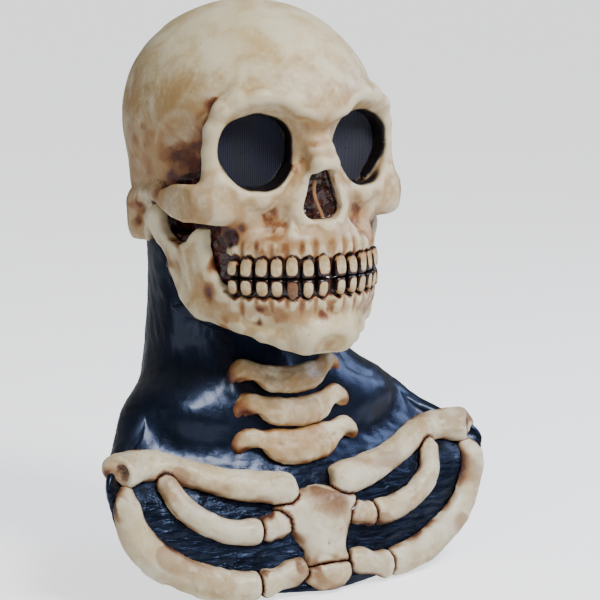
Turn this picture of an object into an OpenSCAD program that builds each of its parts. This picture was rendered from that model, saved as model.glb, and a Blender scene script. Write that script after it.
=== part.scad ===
// Over-the-head latex skull mask with a moving jaw, a black neck and a rib-cage bib.
// The face looks along -Y and +Z is up. The origin is the spot on the crown pad that rests on the
// wearer's head. Shapes are laid out from the middle of the brain case, which sits below it.

/* [Skull] */
// Width of the brain case
skull_w = 186; // [176:1:196]
// Length of the brain case, forehead to back
skull_l = 238; // [228:1:248]
// Height of the brain case
skull_h = 184; // [176:1:192]
// Thickness of the latex skin
wall = 3; // [2.5:0.25:3.5]

/* [Eyes and nose] */
// Distance from the middle of the face to the middle of an eye hole
eye_x = 46; // [44:1:48]
// Turn of each eye hole towards the side, in degrees
eye_turn = 12; // [8:1:16]
// Depth of the turned-in wall of an eye hole
socket_depth = 12; // [11:1:14]

/* [Teeth] */
// Teeth on each side of each jaw
teeth_per_side = 7; // [6:1:7]
// Height of an upper tooth
upper_tooth_h = 17; // [15:1:18]
// Height of a lower tooth
lower_tooth_h = 15; // [13:1:16]

/* [Fitting pads] */
// Thickness of the foam pads inside the skull
pad_t = 12; // [8:1:14]

/* [Bones] */
// Thickness of a collar bone
collar_bone_d = 25; // [22:1:28]
// Thickness of a rib
rib_d = 21; // [18:1:23]

/* [Hidden] */

// Half sizes of the brain case, and the drop from the origin to its middle
case_r = [skull_w / 2, skull_l / 2, skull_h / 2];
seat_drop = case_r.z - wall - pad_t;
bone_colour = [0.93, 0.86, 0.68];
tooth_colour = [0.88, 0.77, 0.52];
skin_colour = [0.07, 0.08, 0.12];
recess_colour = [0.22, 0.10, 0.07];
base_z = -95;           // lower rim of the skull skin, from the middle of the brain case
bite_z = -113;          // height at which the two rows of teeth meet
bite_r = [70, 66];      // half width and half depth of the bite line, an oval
bite_y = -58;           // middle of that oval
bite_end = 72;          // turn round the oval where the gums end, in degrees

// ---- General shapes -------------------------------------------------------------------------

// Puts a shape laid out from the middle of the brain case into the part's own frame
module from_case() translate([0, 0, -seat_drop]) children();

module both_sides() { children(); mirror([1, 0, 0]) children(); }

module ball(at, r, fn = 18) translate(at) sphere(r, $fn = fn);

module ellipsoid(r, fn = 36) scale(r) sphere(1, $fn = fn);

// A value part-way along a list, on a smooth curve through its entries
function pick(list, i) = list[max(0, min(len(list) - 1, i))];
function curve_at(list, u) =
    let (i = min(floor(u), len(list) - 2), f = u - i,
        a = pick(list, i - 1), b = pick(list, i), c = pick(list, i + 1), d = pick(list, i + 2))
    b + 0.5 * f * (c - a) + f * f * (a - 2.5 * b + 2 * c - 0.5 * d)
    + f * f * f * 0.5 * (3 * (b - c) + d - a);

function unit(v) = v / norm(v);

// Faces of a closed tube: rings of n points each, joined in order, with flat ends
function tube_faces(rings, n) = concat(
    [[for (j = [n - 1:-1:0]) j]],
    [for (i = [0:rings - 2], j = [0:n - 1])
        let (a = i * n + j, b = i * n + (j + 1) % n, c = b + n, d = a + n)
        each [[a, b, c], [a, c, d]]],
    [[for (j = [0:n - 1]) (rings - 1) * n + j]]);

// A bone: an oval tube along a smooth curve. Each stop is [x, y, z, height, thickness], with the
// height across the bone, in the skin, and the thickness out of it along `out`.
module bone(stops, out, steps = 3, sides = 10) {
    count = (len(stops) - 1) * steps;
    at = [for (i = [0:count]) curve_at(stops, i / steps)];
    rings = [for (i = [0:count])
        let (p = at[i], a = at[max(0, i - 1)], b = at[min(count, i + 1)],
            along = unit([b.x - a.x, b.y - a.y, b.z - a.z]),
            up = unit(cross(along, out)), face = cross(up, along))
        for (j = [0:sides - 1])
            let (turn = 360 * j / sides)
            [p.x, p.y, p.z] + up * cos(turn) * p[3] / 2 + face * sin(turn) * p[4] / 2];
    polyhedron(rings, tube_faces(count + 1, sides), convexity = 4);
}

// A sheet of even thickness between two rows of points
module web(row_a, row_b, thick, steps = 3) {
    n = (len(row_a) - 1) * steps + 1;
    rows = [for (k = [0:4]) [for (i = [0:n - 1])
        curve_at(row_a, i / steps) * (1 - k / 4) + curve_at(row_b, i / steps) * k / 4]];
    normal = [for (k = [0:4]) [for (i = [0:n - 1])
        unit(cross(rows[min(4, k + 1)][i] - rows[max(0, k - 1)][i],
            rows[k][min(n - 1, i + 1)] - rows[k][max(0, i - 1)]))]];
    sheet_solid(rows, [for (k = [0:4]) [for (i = [0:n - 1]) rows[k][i] - normal[k][i] * thick]],
        false);
}

// Joins an outer and an inner grid of points, rows of equal length, into one closed solid
module sheet_solid(outer, inner, closed) {
    rows = len(outer);
    n = len(outer[0]);
    last = closed ? n - 1 : n - 2;
    shift = rows * n;
    points = concat([for (r = outer) each r], [for (r = inner) each r]);
    skins = [for (k = [0:rows - 2], i = [0:last])
        let (a = k * n + i, b = k * n + (i + 1) % n, c = b + n, d = a + n)
        each [[a, b, c], [a, c, d], [a + shift, c + shift, b + shift],
            [a + shift, d + shift, c + shift]]];
    rims = [for (i = [0:last])
        let (a = i, b = (i + 1) % n, c = (rows - 1) * n + i, d = (rows - 1) * n + (i + 1) % n)
        each [[a, a + shift, b + shift], [a, b + shift, b],
            [c, d + shift, c + shift], [c, d, d + shift]]];
    ends = closed ? [] : [for (k = [0:rows - 2])
        let (a = k * n, b = a + n, c = a + n - 1, d = c + n)
        each [[a, b + shift, a + shift], [a, b, b + shift],
            [c, c + shift, d + shift], [c, d + shift, d]]];
    polyhedron(points, concat(skins, rims, ends), convexity = 8);
}

// ---- Skull ----------------------------------------------------------------------------------

// The outside of the skull, taken in by `inset` for the inside
module skull_form(inset) {
    hull() {
        ellipsoid(case_r - [inset, inset, inset]);
        translate([0, 20, base_z - 1]) scale([77 - inset, 69 - inset, 1])
            cylinder(h = 1, r = 1, $fn = 36);
    }
    hull() both_sides() {
        ball([52, -80, 6], 21 - inset);
        ball([8, -98, 6], 13 - inset);
        ball([72, -70, -32], 12 - inset);
    }
    hull() both_sides() {
        ball([3, -111, -30], 12 - inset);
        ball([26, -98, -58], 18 - inset);
        ball([78, -74, -56], 13 - inset);
        ball([46, -92, base_z + 9], 10 - inset);
        ball([30, -103, base_z + 9], 12 - inset);
        ball([8, -109, base_z + 9], 14 - inset);
    }
    both_sides() {
        arch = [[86, -6, -57, 5, 2], [89, -28, -58, 6, 4], [88, -52, -59, 7, 8], [82, -72, -60, 10, 7]];
        for (i = [0:len(arch) - 2]) hull() for (p = [arch[i], arch[i + 1]], way = [-1, 1])
            ball([p.x, p.y, p.z + way * p[4]], p[3] - inset, 12);
        translate([72, 34, -78]) ellipsoid([15, 18, 22] - [inset, inset, inset], 20);
    }
}

// Outline of an eye hole: wide at the brow and narrow towards the nose
module eye_outline() hull() {
    for (at = [[-11.5, 10], [12, 9.5], [3, -9], [-7, -11]]) translate(at) circle(16, $fn = 28);
}

// Places an upright outline in front of the left eye, facing out, and pushes it back into the head
module at_eye(front, depth) translate([eye_x, -89, -20]) rotate([0, 0, eye_turn])
    translate([0, front + depth, 0]) rotate([90, 0, 0]) linear_extrude(depth) children();

module nose_outline() hull() {
    translate([0, -40.5]) circle(8.5, $fn = 24);
    for (side = [-1, 1]) translate([side * 7.5, -63]) circle(8.5, $fn = 24);
}

module at_nose(front, depth) translate([0, front + depth, 0]) rotate([90, 0, 0])
    linear_extrude(depth) children();

module skull_skin() color(bone_colour) from_case() difference() {
    union() {
        difference() {
            skull_form(0);
            skull_form(wall);
        }
        intersection() {
            skull_form(0);
            both_sides() at_eye(-30, 30 + socket_depth) offset(wall) eye_outline();
        }
    }
    both_sides() at_eye(-40, 41 + socket_depth) eye_outline();
    at_nose(-140, 34) nose_outline();
    translate([-120, -150, base_z - 60]) cube([240, 300, 60]);
}

// The screen and its ring of cement, trimmed to the inside of the skin
module eye_screen() intersection() {
    at_eye(socket_depth + 0.2, 1) offset(wall - 1) eye_outline();
    skull_form(wall + 0.1);
}

module eye_bond() intersection() {
    at_eye(socket_depth + 1.3, 2) difference() {
        offset(wall - 1) eye_outline();
        offset(-1) eye_outline();
    }
    skull_form(wall + 0.1);
}

module eye_screen_left() color(skin_colour) from_case() eye_screen();
module eye_screen_right() color(skin_colour) from_case() mirror([1, 0, 0]) eye_screen();
module eye_bond_left() color(recess_colour) from_case() eye_bond();
module eye_bond_right() color(recess_colour) from_case() mirror([1, 0, 0]) eye_bond();

// A cup behind the nose opening, open towards the front, that starts at the inside of the skin
module nose_lining() color(recess_colour) from_case() difference() {
    intersection() {
        skull_form(wall);
        at_nose(-140, 40) offset(2) nose_outline();
    }
    at_nose(-141, 39) nose_outline();
}

module nose_septum() color(bone_colour) from_case()
    translate([-1, -118, -68]) cube([2, 16, 24]);

// Foam pads: slices of the space just inside the brain case
module lining_slice(t) intersection() {
    difference() {
        ellipsoid(case_r - [wall + 1, wall + 1, wall + 1]);
        ellipsoid(case_r - [wall + t, wall + t, wall + t]);
    }
    children();
}

module crown_pad() color([0.16, 0.16, 0.17]) from_case() lining_slice(pad_t)
    cylinder(h = skull_h, r = 42, $fn = 32);
module brow_pad() color([0.16, 0.16, 0.17]) from_case() lining_slice(pad_t - 2)
    translate([-44, -skull_l, 34]) cube([88, skull_l, 26]);
module nape_pad() color([0.16, 0.16, 0.17]) from_case() lining_slice(pad_t)
    translate([-38, 0, -30]) cube([76, skull_l, 50]);

// ---- Teeth ----------------------------------------------------------------------------------

// A point of the bite line, `turn` degrees from the front, and `back` mm behind it
function bite(turn, back = 0) =
    [(bite_r.x - back) * sin(turn), bite_y - (bite_r.y - back) * cos(turn)];
function tooth_turn(i) = 69 / teeth_per_side * (i + 0.64);
tooth_w = 69 / teeth_per_side * PI / 180 * bite_r.y * 0.88;

// A row of teeth, each with a round root end and a square biting end
module teeth(height, direction) for (i = [0:teeth_per_side - 1], side = [-1, 1]) {
    at = bite(side * tooth_turn(i));
    h = height * (0.98 - 0.03 * i);
    translate([at.x, at.y, bite_z + direction]) rotate([0, 0, side * tooth_turn(i)])
        rotate([90, 0, 0]) linear_extrude(7, center = true) scale([1, direction]) {
            translate([-tooth_w / 2, 0]) square([tooth_w, h - tooth_w / 2]);
            translate([0, h - tooth_w / 2]) circle(tooth_w / 2, $fn = 24);
        }
}

// The strip of gum that the teeth are set in
module gum(low, high) {
    outer = [for (turn = [-bite_end:6:bite_end]) bite(turn, 2)];
    inner = [for (turn = [bite_end:-6:-bite_end]) bite(turn, 7.5)];
    translate([0, 0, low]) linear_extrude(high - low) polygon(concat(outer, inner));
}

module upper_teeth() color(tooth_colour) from_case() teeth(upper_tooth_h, 1);
module lower_teeth() color(tooth_colour) from_case() teeth(lower_tooth_h, -1);
module upper_gum() color(recess_colour) from_case() difference() {
    gum(bite_z + 2, base_z);
    teeth(upper_tooth_h, 1);
}
module lower_gum() color(recess_colour) from_case() difference() {
    gum(bite_z - 1 - lower_tooth_h, bite_z - 2);
    teeth(lower_tooth_h, -1);
}

// ---- Jaw ------------------------------------------------------------------------------------

// Upright stops round the jaw: upper point, lower point and radius
function jaw_stops() = [
    [[87, -3, -73], [80, -20, -112], 5],
    [[83, -28, -88], [75, -34, -134], 6],
    [[80, -58, -86], [70, -52, -142], 6],
    [[70, -66, -112], [60, -66, -144], 6],
    [[56, -80, -131], [50, -78, -147], 8],
    [[45, -96, -132], [39, -94, -158], 8],
    [[24, -110, -132], [21, -108, -163], 9],
    [[0, -116, -132], [0, -116, -164], 9]];

module jaw_stop(stop, inset) {
    ball(stop[0], stop[2] - inset, 12);
    ball(stop[1], stop[2] - inset, 12);
}

module jaw_form(inset) {
    stops = jaw_stops();
    both_sides() for (i = [0:len(stops) - 2]) hull() {
        jaw_stop(stops[i], inset);
        jaw_stop(stops[i + 1], inset);
    }
}

// The hollow bar of the jaw, opened along its inside for the wearer's chin
module jaw_skin() color(bone_colour) from_case() difference() {
    jaw_form(0);
    translate([0, 6, 2]) jaw_form(wall - 1);
    translate([-72, -150, bite_z - 1 - lower_tooth_h]) cube([144, 78, 40]);
}

// A foam cup behind the chin, which passes the wearer's chin movement to the jaw
module chin_cup() color([0.16, 0.16, 0.17]) from_case() difference() {
    translate([0, -82, -145]) ellipsoid([34, 22, 14], 24);
    translate([0, -74, -133]) ellipsoid([30, 20, 19], 24);
    translate([-60, -140, -136]) cube([120, 120, 60]);
}

// ---- Neck and bib ---------------------------------------------------------------------------

// Level rings down the black skin: half width, y of the widest point, y at the front, y at the
// back, z at the side, z at the front, z at the back, and roundness (2 is an oval, 1 a diamond)
SKIN_RINGS = [
    [74.5, 16, -44, 86.5, -92, -142, -90, 2],
    [76, 12, -54, 78, -146, -172, -142, 2],
    [88, 0, -70, 76, -200, -214, -196, 2],
    [118, -32, -80, 74, -236, -252, -236, 1.6],
    [166, -80, -97, 70, -254, -286, -258, 1.3],
    [170, -84, -114, 72, -272, -328, -274, 1.3],
    [162, -80, -127, 74, -288, -362, -290, 1.3]];
SKIN_SIDES = 40;        // points round a ring
SKIN_ROWS = 16;         // rows from the top ring to the rim
SKIN_STEP = 0.36;       // rings between two rows
FRONT_DROP = 2.2;       // how squarely a ring drops towards the front

// A point of the black skin: `turn` is 0 at the front and 90 at the left, `u` counts rings down
function skin_point(turn, u) =
    let (r = curve_at(SKIN_RINGS, u), s = abs(sin(turn)), front = cos(turn) >= 0,
        deep = pow(max(0, 1 - pow(s, r[7])), 1 / r[7]),
        low = pow(max(0, 1 - pow(s, FRONT_DROP)), 1 / FRONT_DROP))
    [r[0] * sin(turn), r[1] + ((front ? r[2] : r[3]) - r[1]) * deep,
        r[4] + ((front ? r[5] : r[6]) - r[4]) * low];

function skin_out(turn, u) = unit(cross(
    skin_point(turn, u + 0.05) - skin_point(turn, max(0, u - 0.05)),
    skin_point(turn + 2, u) - skin_point(turn - 2, u)));

function skin_ring(row) = [for (i = [0:SKIN_SIDES - 1])
    skin_point(360 * i / SKIN_SIDES, row * SKIN_STEP)];

module neck_bib_skin() color(skin_colour) from_case() {
    outer = [for (row = [0:SKIN_ROWS]) skin_ring(row)];
    inner = [for (row = [0:SKIN_ROWS]) [for (i = [0:SKIN_SIDES - 1])
        outer[row][i] - wall * skin_out(360 * i / SKIN_SIDES, row * SKIN_STEP)]];
    sheet_solid(outer, inner, true);
}

// ---- Soft webs that let the jaw open --------------------------------------------------------

throat_jaw_side = [[62, -30, -138], [46, -66, -148], [29, -86, -158], [0, -96, -163],
    [-29, -86, -158], [-46, -66, -148], [-62, -30, -138]];
throat_neck_side = [for (turn = [75:-25:-75]) skin_point(turn, 0.85) + 2.6 * skin_out(turn, 0.85)];
cheek_skull_side = [[58, -80, -95.5], [63, -66, -95.5], [66, -48, -95.5], [68, -28, -95.5]];
cheek_jaw_side = [[53, -79, -129], [54, -66, -128], [59, -50, -126], [66, -34, -122]];

module throat_membrane() color(skin_colour) from_case()
    web(throat_jaw_side, throat_neck_side, 2);
module cheek_membrane_left() color(recess_colour) from_case()
    web(cheek_skull_side, cheek_jaw_side, 2);
module cheek_membrane_right() color(recess_colour) from_case()
    mirror([1, 0, 0]) web(cheek_skull_side, cheek_jaw_side, 2);

// ---- Bones on the skin ----------------------------------------------------------------------

// A ring brought level at height z
function level_ring(row, z) = [for (p = skin_ring(row)) [p.x, p.y, z]];

// Everything that the outside of the black skin encloses, and straight on below its rim
module skin_core() {
    rings = concat(level_ring(0, -80), [for (row = [0:SKIN_ROWS]) each skin_ring(row)],
        level_ring(SKIN_ROWS, -400));
    polyhedron(rings, tube_faces(SKIN_ROWS + 3, SKIN_SIDES), convexity = 8);
}

// A stop of a bone that lies on the skin, from [turn, ring, height, thickness]
function on_skin(stop, lift) =
    let (p = skin_point(stop[0], stop[1]) + lift * skin_out(stop[0], stop[1]))
    [p.x, p.y, p.z, stop[2], stop[3]];

module skin_bone(stops, lift, steps = 3) {
    middle = stops[floor(len(stops) / 2)];
    bone([for (s = stops) on_skin(s, lift)], skin_out(middle[0], middle[1]), steps);
}

// A bone as a solid of its own: cut to sit on the skin, and clear of the bones before it
module seated() difference() {
    children(0);
    skin_core();
    for (i = [1:1:$children - 1]) children(i);
}

module one_side(side) if (side > 0) children(); else mirror([1, 0, 0]) children();

// A neck bone with a curled wing at each end
module vertebra(ring, height, reach) seated() skin_bone([
    [-reach - 3, ring - 0.08, 3, 4], [-reach, ring - 0.08, 15, 12],
    [-reach * 0.72, ring - 0.08, 16, 12], [-reach * 0.45, ring, height, 15],
    [0, ring + 0.04, height + 2, 17], [reach * 0.45, ring, height, 15],
    [reach * 0.72, ring - 0.08, 16, 12], [reach, ring - 0.08, 15, 12],
    [reach + 3, ring - 0.08, 3, 4]], 2.5);

module collar_bone() skin_bone([
    [6, 3.86, 8, 10], [8, 3.86, 28, collar_bone_d - 1], [20, 3.76, 26, collar_bone_d - 3],
    [36, 3.6, 23, collar_bone_d - 5], [54, 3.46, 25, collar_bone_d - 4],
    [70, 3.56, 28, collar_bone_d - 2], [84, 3.84, 31, collar_bone_d],
    [87, 3.9, 14, 12]], 3);

module first_rib() skin_bone([
    [54, 3.5, 6, 6], [50, 3.75, rib_d - 4, rib_d - 5], [41, 4.17, rib_d - 3, rib_d - 3],
    [33, 4.44, rib_d - 2, rib_d - 2], [25, 4.55, rib_d - 1, rib_d - 2],
    [19, 4.55, rib_d, rib_d - 2], [17.6, 4.55, rib_d - 8, rib_d - 10]], 2);

module first_cartilage() skin_bone([
    [17.4, 4.54, rib_d - 7, rib_d - 9], [16, 4.53, rib_d, rib_d - 3],
    [14, 4.5, rib_d - 2, rib_d - 5], [12, 4.46, rib_d, rib_d - 4],
    [9, 4.45, rib_d - 6, rib_d - 8]], 1.5);

module second_rib() skin_bone([
    [70, 3.9, 8, 8], [67.5, 4.3, rib_d, rib_d - 4], [64, 4.9, rib_d + 3, rib_d - 2],
    [55, 5.38, rib_d + 5, rib_d], [40, 5.56, rib_d + 5, rib_d], [29, 5.6, rib_d + 4, rib_d],
    [22.5, 5.55, rib_d + 2, rib_d], [21, 5.54, rib_d - 6, rib_d - 8]], 1);

module second_cartilage() skin_bone([
    [20.6, 5.54, rib_d - 5, rib_d - 7], [19, 5.52, rib_d + 1, rib_d - 1],
    [15, 5.44, rib_d - 4, rib_d - 4], [11, 5.34, rib_d + 1, rib_d - 2],
    [7, 5.24, rib_d - 4, rib_d - 8]], 1.5);

module breastbone_form() skin_bone([
    [0, 3.86, 16, 8], [0, 4, 52, 22], [0, 4.16, 78, 30], [0, 4.36, 74, 30], [0, 4.58, 58, 28],
    [0, 4.8, 46, 24], [0, 5, 38, 22], [0, 5.16, 42, 20], [0, 5.24, 40, 14]], -2, 2);

module breastbone_tip_form() skin_bone([
    [0, 5.25, 40, 14], [0, 5.32, 46, 20], [0, 5.5, 42, 20], [0, 5.68, 26, 14],
    [0, 5.76, 12, 8]], -1, 2);

module vertebra_upper() color(bone_colour) from_case() vertebra(1.66, 21, 34);
module vertebra_middle() color(bone_colour) from_case() vertebra(2.24, 21, 31);
module vertebra_lower() color(bone_colour) from_case() vertebra(2.92, 27, 27);

module collar(side) color(bone_colour) from_case() seated() one_side(side) collar_bone();
module rib_one(side) color(bone_colour) from_case() seated() {
    one_side(side) first_rib();
    one_side(side) collar_bone();
}
module cartilage_one(side) color(bone_colour) from_case() seated() {
    one_side(side) first_cartilage();
    one_side(side) first_rib();
    one_side(side) collar_bone();
}
module rib_two(side) color(bone_colour) from_case() seated() {
    one_side(side) second_rib();
    one_side(side) collar_bone();
    one_side(side) first_rib();
}
module cartilage_two(side) color(bone_colour) from_case() seated() {
    one_side(side) second_cartilage();
    one_side(side) second_rib();
}
module breastbone() color(bone_colour) from_case() seated() {
    breastbone_form();
    both_sides() {
        collar_bone();
        first_cartilage();
        first_rib();
        second_cartilage();
    }
}
module breastbone_tip() color(bone_colour) from_case() seated() {
    breastbone_tip_form();
    breastbone_form();
    both_sides() second_cartilage();
}

module collar_bone_left() collar(1);
module collar_bone_right() collar(-1);
module first_rib_left() rib_one(1);
module first_rib_right() rib_one(-1);
module first_cartilage_left() cartilage_one(1);
module first_cartilage_right() cartilage_one(-1);
module second_rib_left() rib_two(1);
module second_rib_right() rib_two(-1);
module second_cartilage_left() cartilage_two(1);
module second_cartilage_right() cartilage_two(-1);

skull_skin();
neck_bib_skin();
jaw_skin();
throat_membrane();
cheek_membrane_left();
cheek_membrane_right();
upper_teeth();
lower_teeth();
upper_gum();
lower_gum();
eye_screen_left();
eye_screen_right();
eye_bond_left();
eye_bond_right();
nose_lining();
nose_septum();
crown_pad();
brow_pad();
nape_pad();
chin_cup();
vertebra_upper();
vertebra_middle();
vertebra_lower();
collar_bone_left();
collar_bone_right();
breastbone();
breastbone_tip();
first_rib_left();
first_rib_right();
first_cartilage_left();
first_cartilage_right();
second_rib_left();
second_rib_right();
second_cartilage_left();
second_cartilage_right();
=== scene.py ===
# %% [markdown]
# # A full-head latex skull mask, finished in Blender
# The real mask is a thin latex skin, cast in a plaster mould from a clay sculpture, painted ivory and
# rubbed with a brown wash, then screened behind the eyes and padded inside. This lesson follows the
# same order: model the skull and jaw in clay, hollow them, set the teeth, hang the black neck and
# bib with its bones, fit the soft parts, and mix the paints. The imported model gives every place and
# size, so nothing here is fitted by eye.
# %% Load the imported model
import math

import bmesh
import bpy
import numpy as np
import openvdb
from mathutils import Matrix, Vector
from mathutils.bvhtree import BVHTree


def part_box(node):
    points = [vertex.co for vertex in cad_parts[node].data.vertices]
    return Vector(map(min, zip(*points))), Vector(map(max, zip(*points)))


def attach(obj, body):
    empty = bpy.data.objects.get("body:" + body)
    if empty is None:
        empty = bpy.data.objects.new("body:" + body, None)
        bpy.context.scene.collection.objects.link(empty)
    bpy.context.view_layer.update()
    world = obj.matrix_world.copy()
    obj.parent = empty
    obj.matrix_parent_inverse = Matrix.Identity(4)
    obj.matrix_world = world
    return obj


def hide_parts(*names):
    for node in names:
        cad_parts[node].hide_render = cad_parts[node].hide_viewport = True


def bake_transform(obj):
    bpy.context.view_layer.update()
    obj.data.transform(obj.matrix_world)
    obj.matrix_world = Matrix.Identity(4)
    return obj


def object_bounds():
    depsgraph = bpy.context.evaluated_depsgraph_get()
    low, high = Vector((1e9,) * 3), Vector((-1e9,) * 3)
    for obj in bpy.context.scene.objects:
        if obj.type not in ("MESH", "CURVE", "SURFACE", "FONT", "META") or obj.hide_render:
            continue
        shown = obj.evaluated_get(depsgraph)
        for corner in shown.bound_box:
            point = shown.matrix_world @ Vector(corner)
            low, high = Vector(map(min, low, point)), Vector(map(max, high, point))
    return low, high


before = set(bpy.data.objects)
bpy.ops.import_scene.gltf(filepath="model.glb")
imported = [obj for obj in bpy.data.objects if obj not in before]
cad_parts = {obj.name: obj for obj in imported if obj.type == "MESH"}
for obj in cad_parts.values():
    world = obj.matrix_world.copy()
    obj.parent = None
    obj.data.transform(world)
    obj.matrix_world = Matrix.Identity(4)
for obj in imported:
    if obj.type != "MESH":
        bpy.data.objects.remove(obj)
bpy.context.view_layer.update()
CASE_HALF_HEIGHT = 92.0          # mm, middle of the brain case to its crown
CASE_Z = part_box("skull_skin")[1].z * 1000 - CASE_HALF_HEIGHT   # mm, the case's middle in the frame
WALL = 3.0                       # mm of latex
FINE = 1.0   # clay is modelled coarser while trying things out
print("brain case sits at z =", round(CASE_Z, 2), "mm")

# %% [markdown]
# ## The clay
# A sculptor builds a skull from lumps of clay that melt into each other. A signed distance field
# does the same in numbers: each lump is a formula for the distance to its surface, in millimetres,
# and two lumps are joined or cut with a soft edge of a chosen radius. The field is kept on a grid
# and meshed by OpenVDB. Metaballs or sculpt-mode strokes could do it too, but a field gives the same
# result on every run and lets us measure how deep each hollow is, which the paint needs later.
# %% Lumps: distances in mm to simple shapes
def egg(p, centre, radii, lean=(0, 0, 0)):
    """An ellipsoid, leaned by angles in degrees about x, y and z."""
    q = [p[i] - centre[i] for i in range(3)]
    for axis, (a, b) in enumerate(((1, 2), (2, 0), (0, 1))):
        if lean[axis]:
            c, s = math.cos(math.radians(lean[axis])), math.sin(math.radians(lean[axis]))
            q[a], q[b] = c * q[a] + s * q[b], -s * q[a] + c * q[b]
    near = sum((q[i] / radii[i]) ** 2 for i in range(3)) ** 0.5
    slope = sum((q[i] / radii[i] ** 2) ** 2 for i in range(3)) ** 0.5
    return near * (near - 1) / np.maximum(slope, 1e-6)


def rope(p, stops):
    """A rope of clay through stops of (x, y, z, radius)."""
    best = None
    for a, b in zip(stops[:-1], stops[1:]):
        along = [b[i] - a[i] for i in range(3)]
        long2 = sum(v * v for v in along) + 1e-9
        t = np.clip(sum((p[i] - a[i]) * along[i] for i in range(3)) / long2, 0, 1)
        off = sum((p[i] - a[i] - t * along[i]) ** 2 for i in range(3)) ** 0.5
        d = off - (a[3] + t * (b[3] - a[3]))
        best = d if best is None else melt(best, d, 3.0)
    return best


def melt(a, b, soft):
    """Joins two distances with a fillet about `soft` mm wide."""
    h = np.maximum(soft - np.abs(a - b), 0) / soft
    return np.minimum(a, b) - h * h * soft / 4


def carve(a, b, soft):
    """Takes shape b away from a, with a rounded edge."""
    return -melt(-a, b, soft)


# %% The block that holds the field
FAR = 40.0        # mm, the distance stored where nothing is near


class Clay:
    """A signed distance field on a grid, in mm from the middle of the brain case."""

    def __init__(self, low, high, step):
        self.step = step
        self.low = np.array(low, np.float32)
        count = np.ceil((np.array(high) - self.low) / step).astype(int) + 1
        self.field = np.full(count, FAR, np.float32)
        self.axes = [self.low[i] + step * np.arange(count[i], dtype=np.float32) for i in range(3)]

    def window(self, low, high):
        """The slices and coordinates of the part of the grid between two corners."""
        cut = []
        for i in range(3):
            a = int(np.clip((low[i] - self.low[i]) / self.step, 0, self.field.shape[i] - 1))
            b = int(np.clip((high[i] - self.low[i]) / self.step + 2, a + 1, self.field.shape[i]))
            cut.append(slice(a, b))
        x, y, z = (self.axes[i][cut[i]] for i in range(3))
        return tuple(cut), (x[:, None, None], y[None, :, None], z[None, None, :])

    def work(self, shape, low, high, soft, tool=melt, both=True):
        """Joins or carves a shape within two corners, on both sides of the face if asked."""
        for side in ((1, -1) if both else (1,)):
            a, b = (low, high) if side > 0 else ((-high[0], *low[1:]), (-low[0], *high[1:]))
            cut, (x, y, z) = self.window(a, b)
            self.field[cut] = tool(self.field[cut], shape((side * x, y, z)), soft)

    def egg(self, centre, radii, soft=8.0, lean=(0, 0, 0), tool=melt, both=True):
        """Joins or carves an ellipsoid."""
        reach = max(radii) if any(lean) else None
        low = [centre[i] - (reach or radii[i]) - soft - 6 for i in range(3)]
        high = [centre[i] + (reach or radii[i]) + soft + 6 for i in range(3)]
        self.work(lambda p: egg(p, centre, radii, lean), low, high, soft, tool, both)

    def rope(self, stops, soft=6.0, tool=melt, both=True):
        """Joins or carves a rope of clay."""
        low = [min(s[i] - s[3] for s in stops) - soft - 6 for i in range(3)]
        high = [max(s[i] + s[3] for s in stops) + soft + 6 for i in range(3)]
        self.work(lambda p: rope(p, stops), low, high, soft, tool, both)

    def mesh(self, name, field=None):
        """A closed mesh of the field's surface, in metres in the model's frame."""
        band = 3 * self.step
        grid = openvdb.FloatGrid(background=band)
        source = self.field if field is None else field
        grid.copyFromArray(np.clip(source, -band, band).astype(np.float32))
        points, quads = grid.convertToQuads(isovalue=0.0)
        points = points * self.step + self.low
        data = bpy.data.meshes.new(name)
        data.from_pydata(to_frame(points).tolist(), [], quads.tolist())
        data.update()
        piece = bpy.data.objects.new(name, data)
        bpy.context.scene.collection.objects.link(piece)
        return piece

    def sample(self, points, field):
        """Values of a field at points in mm, read between the grid's points."""
        at = (points - self.low) / self.step
        at = np.clip(at, 0, np.array(field.shape) - 1.001)
        base = at.astype(int)
        part = at - base
        total = np.zeros(len(points))
        for corner in np.ndindex(2, 2, 2):
            i, j, k = (base + corner).T
            weight = np.prod(np.where(corner, part, 1 - part), axis=1)
            total += weight * field[i, j, k]
        return total


def to_frame(points):
    """From mm about the middle of the brain case to metres in the model's frame."""
    return (np.asarray(points, float) + (0, 0, CASE_Z)) / 1000


def to_case(points):
    """From metres in the model's frame to mm about the middle of the brain case."""
    return np.asarray(points, float) * 1000 - (0, 0, CASE_Z)


def blurred(field, reach_mm, step):
    """The field averaged over a small box, twice, which rounds every edge and fills every groove."""
    half = max(1, int(round(reach_mm / step)))
    out = np.clip(field, -12, 12).astype(np.float32)
    for _ in range(2):
        for axis in range(3):
            pad = [(0, 0)] * 3
            pad[axis] = (half + 1, half)
            total = np.cumsum(np.pad(out, pad, mode="edge"), axis=axis, dtype=np.float64)
            top = np.take(total, range(2 * half + 1, total.shape[axis]), axis=axis)
            low = np.take(total, range(0, total.shape[axis] - 2 * half - 1), axis=axis)
            out = ((top - low) / (2 * half + 1)).astype(np.float32)
    return out


# %% Seeded noise for lumps and hand-worked surfaces
def lumps(points, size_mm, seed):
    """Smooth noise from -1 to 1 at points in mm, one hump about every `size_mm`."""
    dice = np.random.default_rng(seed)
    value = np.zeros(len(points))
    for _ in range(14):
        way = dice.normal(size=3)
        way *= 2 * math.pi / (size_mm * dice.uniform(1.4, 2.6) * np.linalg.norm(way))
        value += np.sin(points @ way + dice.uniform(0, 2 * math.pi) + 0.7 * np.sin(value))
    return np.clip(value / 5.0, -1, 1)


def fade(value, low, high):
    """0 below low, 1 above high, and a smooth rise between them."""
    t = np.clip((value - low) / (high - low), 0, 1)
    return t * t * (3 - 2 * t)


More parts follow.
